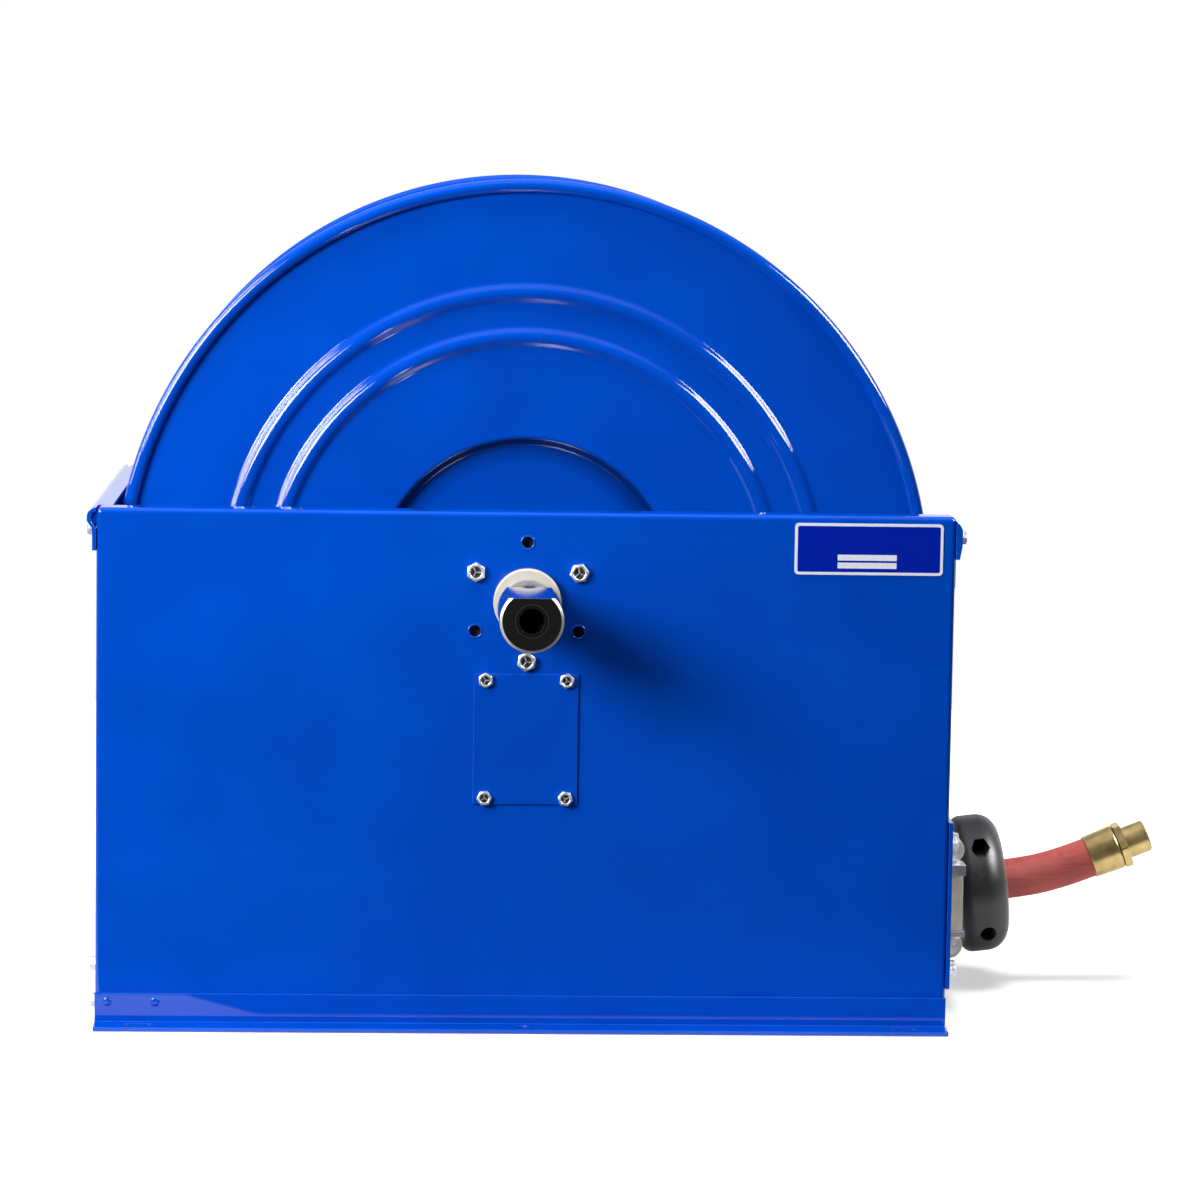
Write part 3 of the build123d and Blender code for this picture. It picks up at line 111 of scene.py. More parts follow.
add_node(sky, "ShaderNodeOutputWorld", Surface=backdrop.outputs[0])


def soft_box(name, place, target, width, height, watts, lights=True, mirrored=True):
    """Rectangular studio lamp at a place, turned to a target. It may light only, or only be mirrored."""
    data = bpy.data.lights.new(name, "AREA")
    data.shape = "RECTANGLE"
    data.size, data.size_y = width, height
    data.energy = watts
    lamp = bpy.data.objects.new(name, data)
    bpy.context.scene.collection.objects.link(lamp)
    lamp.location = place
    lamp.rotation_euler = (Vector(target) - Vector(place)).to_track_quat("-Z", "Y").to_euler()
    lamp.visible_camera = False
    lamp.visible_diffuse = lights
    lamp.visible_glossy = mirrored


soft_box("left_soft_box", (-1.07, -1.32, 0.93), (-0.1, -0.15, 0.35), 0.75, 0.6, 34.5)
soft_box("right_soft_box", (2.4, -1.9, 1.2), (0.1, -0.1, 0.3), 0.35, 1.3, 5.0, mirrored=False)
soft_box("top_soft_box", (0.1, -0.35, 2.6), (0.0, 0.0, 0.2), 1.8, 1.1, 75.0, mirrored=False)
soft_box("left_white_panel", (-1.40, -0.46, 1.10), (-0.15, -0.1, 0.4), 0.50, 1.10, 9.0, lights=False)
soft_box("left_rear_strip", (-1.436, -0.272, 1.09), (-0.186, 0.088, 0.39), 0.12, 1.10, 9.5, lights=False)
soft_box("left_front_strip", (-1.330, -0.638, 1.09), (-0.08, -0.278, 0.39), 0.12, 1.10, 9.5, lights=False)
soft_box("right_white_panel", (1.35, -0.53, 1.267), (0.17, -0.1, 0.45), 0.90, 0.66, 40.0, lights=False)


# ------------------------------------------------------------------ paper floor
# White paper under and behind the reel, plain and without a crease. It fades into the lit wall at
# its edges, keeps the reel's soft shadow, and is dark in front for what mirrors it.
def new_material(name):
    """Empty node material with its output, and the tree to build in."""
    material = bpy.data.materials.new(name)
    material.use_nodes = True
    material.node_tree.nodes.clear()
    return material, material.node_tree


def show(tree, shader_socket):
    """Link the finished shader to the material's output."""
    add_node(tree, "ShaderNodeOutputMaterial", Surface=shader_socket)


paper_mesh = bpy.data.meshes.new("paper_floor")
paper_reach, paper_front = 1.6, -1.05
paper_mesh.from_pydata(
    [
        (-paper_reach, paper_front, 0), (paper_reach, paper_front, 0),
        (paper_reach, paper_reach, 0), (-paper_reach, paper_reach, 0),
    ],
    [], [(0, 1, 2, 3)],
)
paper = bpy.data.objects.new("paper_floor", paper_mesh)
bpy.context.scene.collection.objects.link(paper)
paper.location.z = -0.0006
paper_white, tree = new_material("white_paper")
light_path = add_node(tree, "ShaderNodeLightPath")
where = add_node(tree, "ShaderNodeTexCoord")
apart = add_node(tree, "ShaderNodeSeparateXYZ", _0=where.outputs["Object"])
in_front = add_node(tree, "ShaderNodeMapRange", _0=apart.outputs["Y"], _1=-0.32, _2=-0.2, _3=0.04, _4=0.9)
slant = add_node(tree, "ShaderNodeMapRange", _0=apart.outputs["X"], _1=-0.26, _2=-0.2, _3=0.074, _4=0.0)
slanted = add_node(tree, "ShaderNodeMath", {"operation": "ADD"}, _0=apart.outputs["Y"], _1=slant.outputs[0])
in_mirror = add_node(tree, "ShaderNodeMapRange", _0=slanted.outputs[0], _1=-0.25, _2=-0.238, _3=0.01, _4=0.8)
unseen = add_node(
    tree, "ShaderNodeMix", {"data_type": "FLOAT"},
    _0=light_path.outputs["Is Glossy Ray"], _2=in_front.outputs[0], _3=in_mirror.outputs[0],
)
distance = add_node(tree, "ShaderNodeVectorMath", {"operation": "LENGTH"}, _0=where.outputs["Object"])
edge_glow = add_node(tree, "ShaderNodeMapRange", _0=distance.outputs["Value"], _1=0.55, _2=0.95, _3=0.5, _4=1.0)
near_matt = add_node(tree, "ShaderNodeBsdfDiffuse", Color=linear("F4F4F4"))
mirrored_matt = add_node(tree, "ShaderNodeBsdfDiffuse", Color=unseen.outputs[0])
glow = add_node(tree, "ShaderNodeEmission", Color=linear("FFFFFF"), Strength=edge_glow.outputs[0])
lifted = add_node(tree, "ShaderNodeAddShader", _0=near_matt.outputs[0], _1=glow.outputs[0])
paper_mix = add_node(
    tree, "ShaderNodeMixShader",
    _0=light_path.outputs["Is Camera Ray"], _1=mirrored_matt.outputs[0], _2=lifted.outputs[0],
)
show(tree, paper_mix.outputs[0])
paper_mesh.materials.append(paper_white)


# ------------------------------------------------------------------ hose
# One-inch red rubber hose, 20 m of it: wound on the drum in three full layers and half of a fourth,
# then straight out over the lower guide roller. Its cover is extruded, dull, and slightly dusty.
HOSE_DIAMETER = 0.0318
AXIS_HEIGHT = 0.322
FREE_HOSE_ROUTE = [
    (-0.0077, 0.0, 0.0848), (0.060, 0.0, 0.0823), (0.150, 0.0, 0.0780), (0.246, 0.0, 0.0748),
    (0.328, 0.0, 0.0741), (0.390, 0.0, 0.0813), (0.4275, 0.0, 0.0879), (0.457, 0.0, 0.09975),
]


def hose_curve(name, points, diameter):
    """Round hose on a smooth spline through a set of control points."""
    data = bpy.data.curves.new(name, "CURVE")
    data.dimensions = "3D"
    data.bevel_depth = diameter / 2
    data.bevel_resolution = 8
    data.resolution_u = 4
    data.use_fill_caps = True
    spline = data.splines.new("NURBS")
    spline.points.add(len(points) - 1)
    for place, point in zip(points, spline.points):
        point.co = (*place, 1.0)
    spline.order_u = 3
    spline.use_endpoint_u = True
    hose = bpy.data.objects.new(name, data)
    bpy.context.scene.collection.objects.link(hose)
    return hose


def wound_points():
    """Control points of the wound hose: it goes from side to side and climbs a layer at each disc."""
    wrap_pitch, layer_pitch, first_radius, side = 0.03192, 0.0319, 0.1412, 0.0778
    climb_turns = 0.1433
    lap = 2 * side / wrap_pitch + climb_turns
    total_turns = 17.5 - 1.86 / 360  # it leaves in line with the free run
    step = 1 / 16
    turns_at = [0.0] + [step * (i + 0.5) for i in range(int(total_turns / step))] + [total_turns]
    places = []
    for index, turn in enumerate(turns_at):
        layer = min(int(turn / lap), 3)
        along = (turn - layer * lap) * wrap_pitch
        across = min(along, 2 * side)
        y = (-side + across) * (1 if layer % 2 == 0 else -1)
        climbed = 0.0 if layer == 3 else max(0.0, (turn - layer * lap) - 2 * side / wrap_pitch) / climb_turns
        radius = first_radius + (layer + climbed) * layer_pitch
        if 0 < index < len(turns_at) - 1:
            radius /= math.cos(math.pi * step)
        angle = math.radians(90.0) + 2 * math.pi * turn
        places.append((radius * math.cos(angle), y, AXIS_HEIGHT + radius * math.sin(angle)))
    places[-1] = FREE_HOSE_ROUTE[0]
    return places


wound_path = wound_points()
wound_hose = hose_curve("wound_hose", wound_path, HOSE_DIAMETER)
free_hose = hose_curve("free_hose", FREE_HOSE_ROUTE, HOSE_DIAMETER)
free_hose.data.resolution_u = 16


def axle_distance(tree, apart):
    """Socket with the distance from the drum's axle, from object coordinates taken apart."""
    height = add_node(tree, "ShaderNodeMath", {"operation": "SUBTRACT"}, _0=apart.outputs["Z"], _1=AXIS_HEIGHT)
    flat = add_node(tree, "ShaderNodeCombineXYZ", X=apart.outputs["X"], Y=height.outputs[0])
    return add_node(tree, "ShaderNodeVectorMath", {"operation": "LENGTH"}, _0=flat.outputs[0]).outputs["Value"]


# Extruded nitrile-blend rubber: dull, rose red, with fine flow streaks along the hose about 1.5 mm
# apart and a bloom of paler patches. The streaks follow the free run along X and the wraps round the axle.
for hose, body, node, wound in ((wound_hose, "drum", "hose_pack", True), (free_hose, "frame", "hose_lead", False)):
    red_rubber, tree = new_material("extruded_red_rubber_wound" if wound else "extruded_red_rubber_straight")
    where = add_node(tree, "ShaderNodeTexCoord")
    apart = add_node(tree, "ShaderNodeSeparateXYZ", _0=where.outputs["Object"])
    if wound:
        across_hose = add_node(tree, "ShaderNodeCombineXYZ", X=axle_distance(tree, apart), Y=apart.outputs["Y"])
    else:
        slow = add_node(tree, "ShaderNodeMath", {"operation": "MULTIPLY"}, _0=apart.outputs["X"], _1=0.02)
        across_hose = add_node(
            tree, "ShaderNodeCombineXYZ", X=apart.outputs["Z"], Y=apart.outputs["Y"], Z=slow.outputs[0],
        )
    streak = add_node(tree, "ShaderNodeTexNoise", Vector=across_hose.outputs[0], Scale=1 / 0.0015, Detail=2.0)
    bloom = add_node(
        tree, "ShaderNodeTexNoise", Vector=where.outputs["Object"], Scale=1 / 0.03, Detail=4.0, Roughness=0.6,
    )
    grain = add_node(tree, "ShaderNodeTexNoise", Vector=where.outputs["Object"], Scale=1 / 0.0011, Detail=3.0)
    mottle = add_node(
        tree, "ShaderNodeMix", {"data_type": "FLOAT"}, _0=0.45, _2=bloom.outputs[0], _3=streak.outputs[0],
    )
    rubber_colour = add_node(tree, "ShaderNodeValToRGB", Fac=mottle.outputs[0])
    rubber_colour.color_ramp.elements[0].position = 0.32
    rubber_colour.color_ramp.elements[0].color = linear("AF4B47")
    rubber_colour.color_ramp.elements[1].position = 0.68
    rubber_colour.color_ramp.elements[1].color = linear("D0675F")
    relief = add_node(
        tree, "ShaderNodeMix", {"data_type": "FLOAT"}, _0=0.5, _2=streak.outputs[0], _3=grain.outputs[0],
    )
    dents = add_node(tree, "ShaderNodeBump", Strength=0.35, Distance=0.0003, Height=relief.outputs[0])
    rubber = add_node(
        tree, "ShaderNodeBsdfPrincipled", Base_Color=rubber_colour.outputs[0], Roughness=0.6, IOR=1.52,
        Specular_IOR_Level=0.35, Normal=dents.outputs[0],
    )
    show(tree, rubber.outputs[0])
    hose.data.materials.append(red_rubber)
    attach(hose, body)
    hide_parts(node)


# ------------------------------------------------------------------ bumper stop
# Two moulded rubber halves clamped round the hose by two screws, which stop it at the guide rollers.
# Each half has a round counterbore for a screw head and a hexagonal pocket for a nut.
def finish_node(name, material):
    """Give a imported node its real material."""
    slots = NODES[name].data.materials
    slots.clear()
    slots.append(material)


# Moulded black rubber: satin, slightly blue in its highlight, with a faint ripple from the mould
# about 6 mm across and a fine 0.4 mm grain, drawn at 0.8 mm so that it shows.
black_rubber, tree = new_material("moulded_black_rubber")
where = add_node(tree, "ShaderNodeTexCoord")
ripple = add_node(tree, "ShaderNodeTexNoise", Vector=where.outputs["Object"], Scale=1 / 0.006, Detail=2.0)
grain = add_node(tree, "ShaderNodeTexNoise", Vector=where.outputs["Object"], Scale=1 / 0.0008, Detail=2.0)
relief = add_node(tree, "ShaderNodeMix", {"data_type": "FLOAT"}, _0=0.35, _2=ripple.outputs[0], _3=grain.outputs[0])
dents = add_node(tree, "ShaderNodeBump", Strength=0.25, Distance=0.0002, Height=relief.outputs[0])
shine = add_node(tree, "ShaderNodeMapRange", _0=ripple.outputs[0], _1=0.3, _2=0.7, _3=0.38, _4=0.46)
rubber = add_node(
    tree, "ShaderNodeBsdfPrincipled", Base_Color=linear("1B1A1F"), Roughness=shine.outputs[0], IOR=1.55,
    Specular_IOR_Level=0.8, Sheen_Weight=0.4, Sheen_Roughness=0.4, Normal=dents.outputs[0],
)
show(tree, rubber.outputs[0])
for name in ("bumper_near_half", "bumper_far_half", "swivel_seal"):
    finish_node(name, black_rubber)


# ------------------------------------------------------------------ hose fitting
# A brass ferrule crimped over the hose end, with a hexagonal shoulder and a plain nipple turned
# from bar in front of it. The stem inside the ferrule holds them together.

# Turned brass: yellow, semi-bright, with tool marks 0.25 mm apart drawn at 0.9 mm, and a thin tarnish.
fitting_axis = Vector((0.92793, 0.0, 0.37274))
brass, tree = new_material("turned_brass")
where = add_node(tree, "ShaderNodeTexCoord")
along = add_node(
    tree, "ShaderNodeVectorMath", {"operation": "DOT_PRODUCT"}, _0=where.outputs["Object"], _1=fitting_axis,
)
tool_line = add_node(
    tree, "ShaderNodeMath", {"operation": "MULTIPLY"}, _0=along.outputs["Value"], _1=2 * math.pi / 0.0009,
)
tool_mark = add_node(tree, "ShaderNodeMath", {"operation": "SINE"}, _0=tool_line.outputs[0])
tarnish = add_node(tree, "ShaderNodeTexNoise", Vector=where.outputs["Object"], Scale=1 / 0.009, Detail=4.0)
brass_colour = add_node(tree, "ShaderNodeValToRGB", Fac=tarnish.outputs[0])
brass_colour.color_ramp.elements[0].position = 0.35
brass_colour.color_ramp.elements[0].color = linear("D3B672")
brass_colour.color_ramp.elements[1].position = 0.65
brass_colour.color_ramp.elements[1].color = linear("E9D093")
dents = add_node(tree, "ShaderNodeBump", Strength=0.12, Distance=0.00005, Height=tool_mark.outputs[0])
dullness = add_node(tree, "ShaderNodeMapRange", _0=tarnish.outputs[0], _1=0.3, _2=0.7, _3=0.28, _4=0.33)
metal = add_node(
    tree, "ShaderNodeBsdfPrincipled", Base_Color=brass_colour.outputs[0], Metallic=0.85,
    Roughness=dullness.outputs[0], Normal=dents.outputs[0],
)
show(tree, metal.outputs[0])
for name in ("hose_ferrule", "hose_nipple"):
    finish_node(name, brass)


# ------------------------------------------------------------------ side panels, feet and cross-members
# Folded 3 mm sheet panels on slotted foot angles, joined by a nosed rear member, a flanged plate
# below it, a tie bar and the guide plate in front. All are powder coated before they are bolted up.

# Polyester powder coat: deep glossy blue, its shine all in the clear skin of the film. It flows into a peel
# about 1.8 mm across and drifts in depth over 90 mm. Sharp edges get a painted highlight in a paler blue,
# and the sunk corner of the discs gets painted shade in a dark blue.
powder_coat, tree = new_material("blue_polyester_powder_coat")
where = add_node(tree, "ShaderNodeTexCoord")
surface = add_node(tree, "ShaderNodeNewGeometry")
drift = add_node(tree, "ShaderNodeTexNoise", Vector=where.outputs["Object"], Scale=1 / 0.09, Detail=3.0)
peel = add_node(tree, "ShaderNodeTexNoise", Vector=where.outputs["Object"], Scale=1 / 0.0018, Detail=1.0)
coat_colour = add_node(tree, "ShaderNodeValToRGB", Fac=drift.outputs[0])
coat_colour.color_ramp.elements[0].position = 0.3
coat_colour.color_ramp.elements[0].color = linear("0043B4")
coat_colour.color_ramp.elements[1].position = 0.7
coat_colour.color_ramp.elements[1].color = linear("004AC0")
apart = add_node(tree, "ShaderNodeSeparateXYZ", _0=where.outputs["Object"])
out_from_axle = axle_distance(tree, apart)
# Painted shade: the coat is mixed to a dark blue in the sunk corner round the discs' centre, where shade falls.
to_corner = add_node(tree, "ShaderNodeMapRange", _0=out_from_axle, _1=0.095, _2=0.1125, _3=0.0, _4=1.0)
past_corner = add_node(tree, "ShaderNodeMapRange", _0=out_from_axle, _1=0.1164, _2=0.1174, _3=1.0, _4=0.0)
from_middle = add_node(tree, "ShaderNodeMath", {"operation": "ABSOLUTE"}, _0=apart.outputs["Y"])
sunk = add_node(tree, "ShaderNodeMapRange", _0=from_middle.outputs[0], _1=0.0961, _2=0.0953, _3=0.0, _4=1.0)
near_corner = add_node(
    tree, "ShaderNodeMath", {"operation": "MULTIPLY"}, _0=to_corner.outputs[0], _1=past_corner.outputs[0],
)
painted_corner_shade = add_node(
    tree, "ShaderNodeMath", {"operation": "MULTIPLY"}, _0=near_corner.outputs[0], _1=sunk.outputs[0],
)
corner_shade_colour = add_node(
    tree, "ShaderNodeMix", {"data_type": "RGBA"},
    _0=painted_corner_shade.outputs[0], _6=coat_colour.outputs[0], _7=linear("00286F"),
)
rounded = add_node(tree, "ShaderNodeBevel", {"samples": 6}, Radius=0.0008)
turned_away = add_node(
    tree, "ShaderNodeVectorMath", {"operation": "DOT_PRODUCT"}, _0=rounded.outputs[0], _1=surface.outputs["Normal"],
)
# Painted highlight: where the bevel finds a sharp edge, the coat is mixed to a paler blue.
edge = add_node(tree, "ShaderNodeMapRange", _0=turned_away.outputs["Value"], _1=0.985, _2=0.86, _3=0.0, _4=0.45)
edge_highlight_colour = add_node(
    tree, "ShaderNodeMix", {"data_type": "RGBA"}, _0=edge.outputs[0], _6=corner_shade_colour.outputs[2], _7=linear("3F7FE6"),
)
flow = add_node(
    tree, "ShaderNodeBump", Strength=0.06, Distance=0.00005, Height=peel.outputs[0], Normal=rounded.outputs[0],
)
paint = add_node(
    tree, "ShaderNodeBsdfPrincipled", Base_Color=edge_highlight_colour.outputs[2], Roughness=0.5, IOR=1.5,
    Specular_IOR_Level=0.0, Coat_Weight=1.0, Coat_Roughness=0.03, Coat_IOR=1.5, Normal=flow.outputs[0],
)
tree.links.new(flow.outputs[0], paint.inputs["Coat Normal"])
show(tree, paint.outputs[0])
for name in (
    "near_side_panel", "far_side_panel", "near_foot_angle", "far_foot_angle", "rear_top_member", "rear_lower_member",
    "front_top_tie", "front_guide_plate", "cover_plate", "latch_plate", "drum_core", "near_hub_plate", "spring_case",
    "spring_case_lid",
):
    finish_node(name, powder_coat)


# ------------------------------------------------------------------ drum discs
# Two discs pressed and spun from 2 mm sheet: a sunk centre where the hub is bolted, two raised
# stiffening ribs, and a rim rolled over a wire so that the hose can't be cut. Powder coated.
DISC_FACE = 0.096
DISC_SHEET = 0.002
DISC_BORE = 0.0177
RECESS_DEPTH = 0.010
RECESS_INSIDE, RECESS_OUTSIDE, RECESS_ROUND = 0.1075, 0.1164, 0.003
RIB_RADII = (0.192, 0.2255)
RIB_CROWN_ROUND, RIB_FOOT_ROUND, RIB_FOOT_OUT = 0.0074, 0.005, 0.0095
RIB_CROWN_CENTRE = 0.00297
RIM_WIRE = 0.0052
RIM_CENTRE = 0.3068


def arc(centre_out, centre_along, radius, start, end, steps):
    """Points on an arc, as distance out from the axle against distance along it."""
    for index in range(steps + 1):
        angle = math.radians(start + (end - start) * index / steps)
        yield centre_out + radius * math.cos(angle), centre_along + radius * math.sin(angle)


def pressed_outline(offset):
    """One face of a disc from the centre out to the rim: sunk centre, cone and two ribs."""
    points = [(DISC_BORE, DISC_FACE - offset - RECESS_DEPTH)]
    points += arc(RECESS_INSIDE, DISC_FACE - RECESS_DEPTH + RECESS_ROUND, RECESS_ROUND + offset, 270, 332, 9)
    points += arc(RECESS_OUTSIDE, DISC_FACE - RECESS_ROUND, RECESS_ROUND - offset, 152, 90, 9)
    for rib in RIB_RADII:
        points += arc(rib - RIB_FOOT_OUT, DISC_FACE + RIB_FOOT_ROUND, RIB_FOOT_ROUND + offset, 270, 320, 9)
        points += arc(rib, DISC_FACE - RIB_CROWN_CENTRE, RIB_CROWN_ROUND - offset, 140, 40, 22)
        points += arc(rib + RIB_FOOT_OUT, DISC_FACE + RIB_FOOT_ROUND, RIB_FOOT_ROUND + offset, 220, 270, 9)
    return points


def mesh_piece(name, bm, sharp_angle):
    """Object from a bmesh, smooth but for the edges that turn more than an angle."""
    bmesh.ops.recalc_face_normals(bm, faces=bm.faces)
    for face in bm.faces:
        face.smooth = True
    for edge in bm.edges:
        edge.smooth = len(edge.link_faces) == 2 and edge.calc_face_angle(math.pi) < math.radians(sharp_angle)
    mesh = bpy.data.meshes.new(name)
    bm.to_mesh(mesh)
    bm.free()
    piece = bpy.data.objects.new(name, mesh)
    bpy.context.scene.collection.objects.link(piece)
    return piece


def spin(bm, outline, centre, side, segments):
    """Spin a closed outline about a line along Y through a centre, on one side of the reel."""
    rings = []
    for index in range(segments):
        angle = 2 * math.pi * index / segments
        rings.append([
            bm.verts.new((centre[0] + out * math.cos(angle), side * along, centre[1] + out * math.sin(angle)))
            for out, along in outline
        ])
    count = len(outline)
    for index, ring in enumerate(rings):
        following = rings[(index + 1) % segments]
        for k in range(count):
            bm.faces.new((ring[k], ring[(k + 1) % count], following[(k + 1) % count], following[k]))


disc_rim = list(arc(RIM_CENTRE, DISC_FACE - DISC_SHEET + RIM_WIRE, RIM_WIRE, 205, -90, 28))
disc_outline = pressed_outline(0.0) + disc_rim + pressed_outline(DISC_SHEET)[::-1]
for name, side, node in (("near_pressed_disc", -1, "near_disc"), ("far_pressed_disc", 1, "far_disc")):
    bm = bmesh.new()
    spin(bm, disc_outline, (0.0, AXIS_HEIGHT), side, 300)
    disc = mesh_piece(name, bm, 35)
    disc.data.materials.append(powder_coat)
    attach(disc, "drum")
    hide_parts(node)


# ------------------------------------------------------------------ fasteners
# Cold-formed hex bolts, with a washer face, a chamfered crown and a dished centre with three raised
# radial lines for their grade. Their nuts are chamfered on both faces. Bright zinc plated.
def hexagon_radii(across, steps):
    """Distance from the middle to a hexagon's outline, at even angles, with a corner at the first."""
    return [
        across / 2 / math.cos(math.radians((360.0 * index / steps) % 60.0 - 30.0)) for index in range(steps)
    ]


def stack_rings(bm, rings, place, dished=99):
    """Skin a stack of rings, each a list of radii and a list of heights, and cap both ends.

    From the ring numbered dished on, the faces take the second material.
    """
    rows = []
    for radii, heights in rings:
        steps = len(radii)
        rows.append([
            bm.verts.new(place @ Vector((
                radius * math.cos(2 * math.pi * k / steps), radius * math.sin(2 * math.pi * k / steps), height,
            )))
            for k, (radius, height) in enumerate(zip(radii, heights))
        ])
    for index, (lower, upper) in enumerate(zip(rows, rows[1:])):
        for k in range(len(lower)):
            side = bm.faces.new((lower[k], lower[(k + 1) % len(lower)], upper[(k + 1) % len(upper)], upper[k]))
            side.material_index = int(index >= dished)
    bm.faces.new(rows[0][::-1])
    bm.faces.new(rows[-1]).material_index = int(len(rows) > dished)


def hex_bolt(bm, place, across, grip):
    """Bolt along the place's own Z, with its seat at zero, its head above and its nut below the grip."""
    steps = 48
    corners = hexagon_radii(across, steps)
    height = 0.405 * across
    shank = across / 3.2
    face = 0.475 * across
    chamfer = [height - (radius - face) * math.tan(math.radians(30)) for radius in corners]

    def even(value):
        """The same value all round a ring."""
        return [value] * steps

    # From the seventh ring on, the dish takes the second material, the painted shade.
    stack_rings(bm, [
        (even(face), even(0.0)), (even(face), even(0.0003)), (corners, even(0.0003)), (corners, chamfer),
        (even(face), even(height)), (even(0.42 * across), even(height + 0.012 * across)),
        (even(0.38 * across), even(height + 0.008 * across)), (even(0.34 * across), even(height - 0.02 * across)),
        (even(0.30 * across), even(height - 0.09 * across)), (even(0.04 * across), even(height - 0.12 * across)),
    ], place, dished=7)
    for turn in (90, 210, 330):
        turned = place @ Matrix.Rotation(math.radians(turn), 4, "Z")
        near, far, half = 0.03 * across, 0.34 * across, 0.042 * across
        low, top = height - 0.13 * across, height - 0.01 * across
        line = [(near, -half), (far, -half), (far, half), (near, half)]
        foot = [bm.verts.new(turned @ Vector((x, y, low))) for x, y in line]
        crest = [bm.verts.new(turned @ Vector((x, y * 0.6, top))) for x, y in line]
        bm.faces.new(crest)
        bm.faces.new(foot[::-1])
        for k in range(4):
            bm.faces.new((foot[k], foot[(k + 1) % 4], crest[(k + 1) % 4], crest[k]))
    nut = 0.405 * across
    tip = -grip - nut - 0.0015
    stack_rings(bm, [
        (even(shank * 0.8), even(tip)), (even(shank), even(tip + 0.0008)), (even(shank), even(0.0)),
    ], place)
    low_chamfer = [-grip - nut + (radius - face) * math.tan(math.radians(30)) for radius in corners]
    high_chamfer = [-grip - (radius - face) * math.tan(math.radians(30)) for radius in corners]
    stack_rings(bm, [
        (even(face), even(-grip - nut)), (corners, low_chamfer),
        (corners, high_chamfer), (even(face), even(-grip)),
    ], place)


# Bright zinc over rolled steel: cool white metal with a faint bloom, with soft cloudy patches about
# 2.5 mm across where the bath left it duller and the forging shows as shallow dents.
zinc, tree = new_material("bright_zinc_plate")
where = add_node(tree, "ShaderNodeTexCoord")
cloud = add_node(tree, "ShaderNodeTexNoise", Vector=where.outputs["Object"], Scale=1 / 0.0025, Detail=2.0)
zinc_colour = add_node(tree, "ShaderNodeValToRGB", Fac=cloud.outputs[0])
zinc_colour.color_ramp.elements[0].position = 0.35
zinc_colour.color_ramp.elements[0].color = linear("E2E4E8")
zinc_colour.color_ramp.elements[1].position = 0.65
zinc_colour.color_ramp.elements[1].color = linear("F8F9FB")
dullness = add_node(tree, "ShaderNodeMapRange", _0=cloud.outputs[0], _1=0.3, _2=0.7, _3=0.3, _4=0.44)
dents = add_node(tree, "ShaderNodeBump", Strength=0.8, Distance=0.0006, Height=cloud.outputs[0])
metal = add_node(
    tree, "ShaderNodeBsdfPrincipled", Base_Color=zinc_colour.outputs[0], Metallic=0.8, Roughness=dullness.outputs[0],
    Normal=dents.outputs[0],
)
show(tree, metal.outputs[0])

# Painted shade: the dish of a head takes a dark grey that stands in for the shade in it.
painted_dish_shade, tree = new_material("painted_shade_in_bolt_dishes")
where = add_node(tree, "ShaderNodeTexCoord")
film = add_node(tree, "ShaderNodeTexNoise", Vector=where.outputs["Object"], Scale=1 / 0.002, Detail=3.0)
dish_shade_colour = add_node(tree, "ShaderNodeValToRGB", Fac=film.outputs[0])
dish_shade_colour.color_ramp.elements[0].position = 0.35
dish_shade_colour.color_ramp.elements[0].color = linear("4A4C50")
dish_shade_colour.color_ramp.elements[1].position = 0.65
dish_shade_colour.color_ramp.elements[1].color = linear("8E9094")
metal = add_node(tree, "ShaderNodeBsdfPrincipled", Base_Color=dish_shade_colour.outputs[0], Metallic=1.0, Roughness=0.35)
show(tree, metal.outputs[0])

LARGE_HEAD, SMALL_HEAD = 0.0127, 0.00992  # across flats
PANEL_FACE = 0.195
FRAME_END = 0.320
BOLT_CIRCLE = 0.0445


def on_bolt_circle(turn):
    """Place on the bolt circle round the axle, in the panel's plane, at an angle in degrees."""
    return (
        BOLT_CIRCLE * math.cos(math.radians(turn)), AXIS_HEIGHT + BOLT_CIRCLE * math.sin(math.radians(turn)),
    )


flange_places = [on_bolt_circle(turn) for turn in (30, 150, 270)]
plate_places = [(x, 0.219 + z) for x in (-0.0303, 0.0303) for z in (-0.0444, 0.0444)]
frame_bolt_places = []
for y in (-0.184, 0.184):
    frame_bolt_places += [
        ((-FRAME_END - 0.003, y, 0.373), (-1, 0, 0), 0, SMALL_HEAD, 0.006),
        ((FRAME_END + 0.0048, y, 0.373), (1, 0, 0), 0, SMALL_HEAD, 0.0078),
        ((-FRAME_END, y, 0.0168), (-1, 0, 0), 0, SMALL_HEAD, 0.006),
        ((-FRAME_END, y, 0.0444), (-1, 0, 0), 0, SMALL_HEAD, 0.006),
        ((FRAME_END + 0.003, y, 0.0445), (1, 0, 0), 0, LARGE_HEAD, 0.006),
        ((FRAME_END + 0.003, y, 0.142), (1, 0, 0), 0, LARGE_HEAD, 0.006),
    ]
bolt_groups = {
    "swivel_flange_bolts": ("bearing_housing_bolts", [
        ((x, -PANEL_FACE, z), (0, -1, 0), turn, LARGE_HEAD, 0.008) for (x, z), turn in zip(flange_places, (8, 28, 22))
    ]),
    "arbor_flange_bolts": ("arbor_bolts", [
        ((x, PANEL_FACE, z), (0, 1, 0), turn, LARGE_HEAD, 0.008) for (x, z), turn in zip(flange_places, (14, 3, 51))
    ]),
    "cover_bolts": ("cover_plate_bolts", [
        ((x, -PANEL_FACE - 0.002, z), (0, -1, 0), turn, SMALL_HEAD, 0.005)
        for (x, z), turn in zip(plate_places, (5, 33, 48, 19))
    ]),
    "latch_bolts": ("latch_plate_bolts", [
        ((x, PANEL_FACE + 0.003, z), (0, 1, 0), turn, SMALL_HEAD, 0.006)
        for (x, z), turn in zip(plate_places, (40, 12, 27, 55))
    ]),
    "frame_corner_bolts": ("frame_bolts", frame_bolt_places),
}
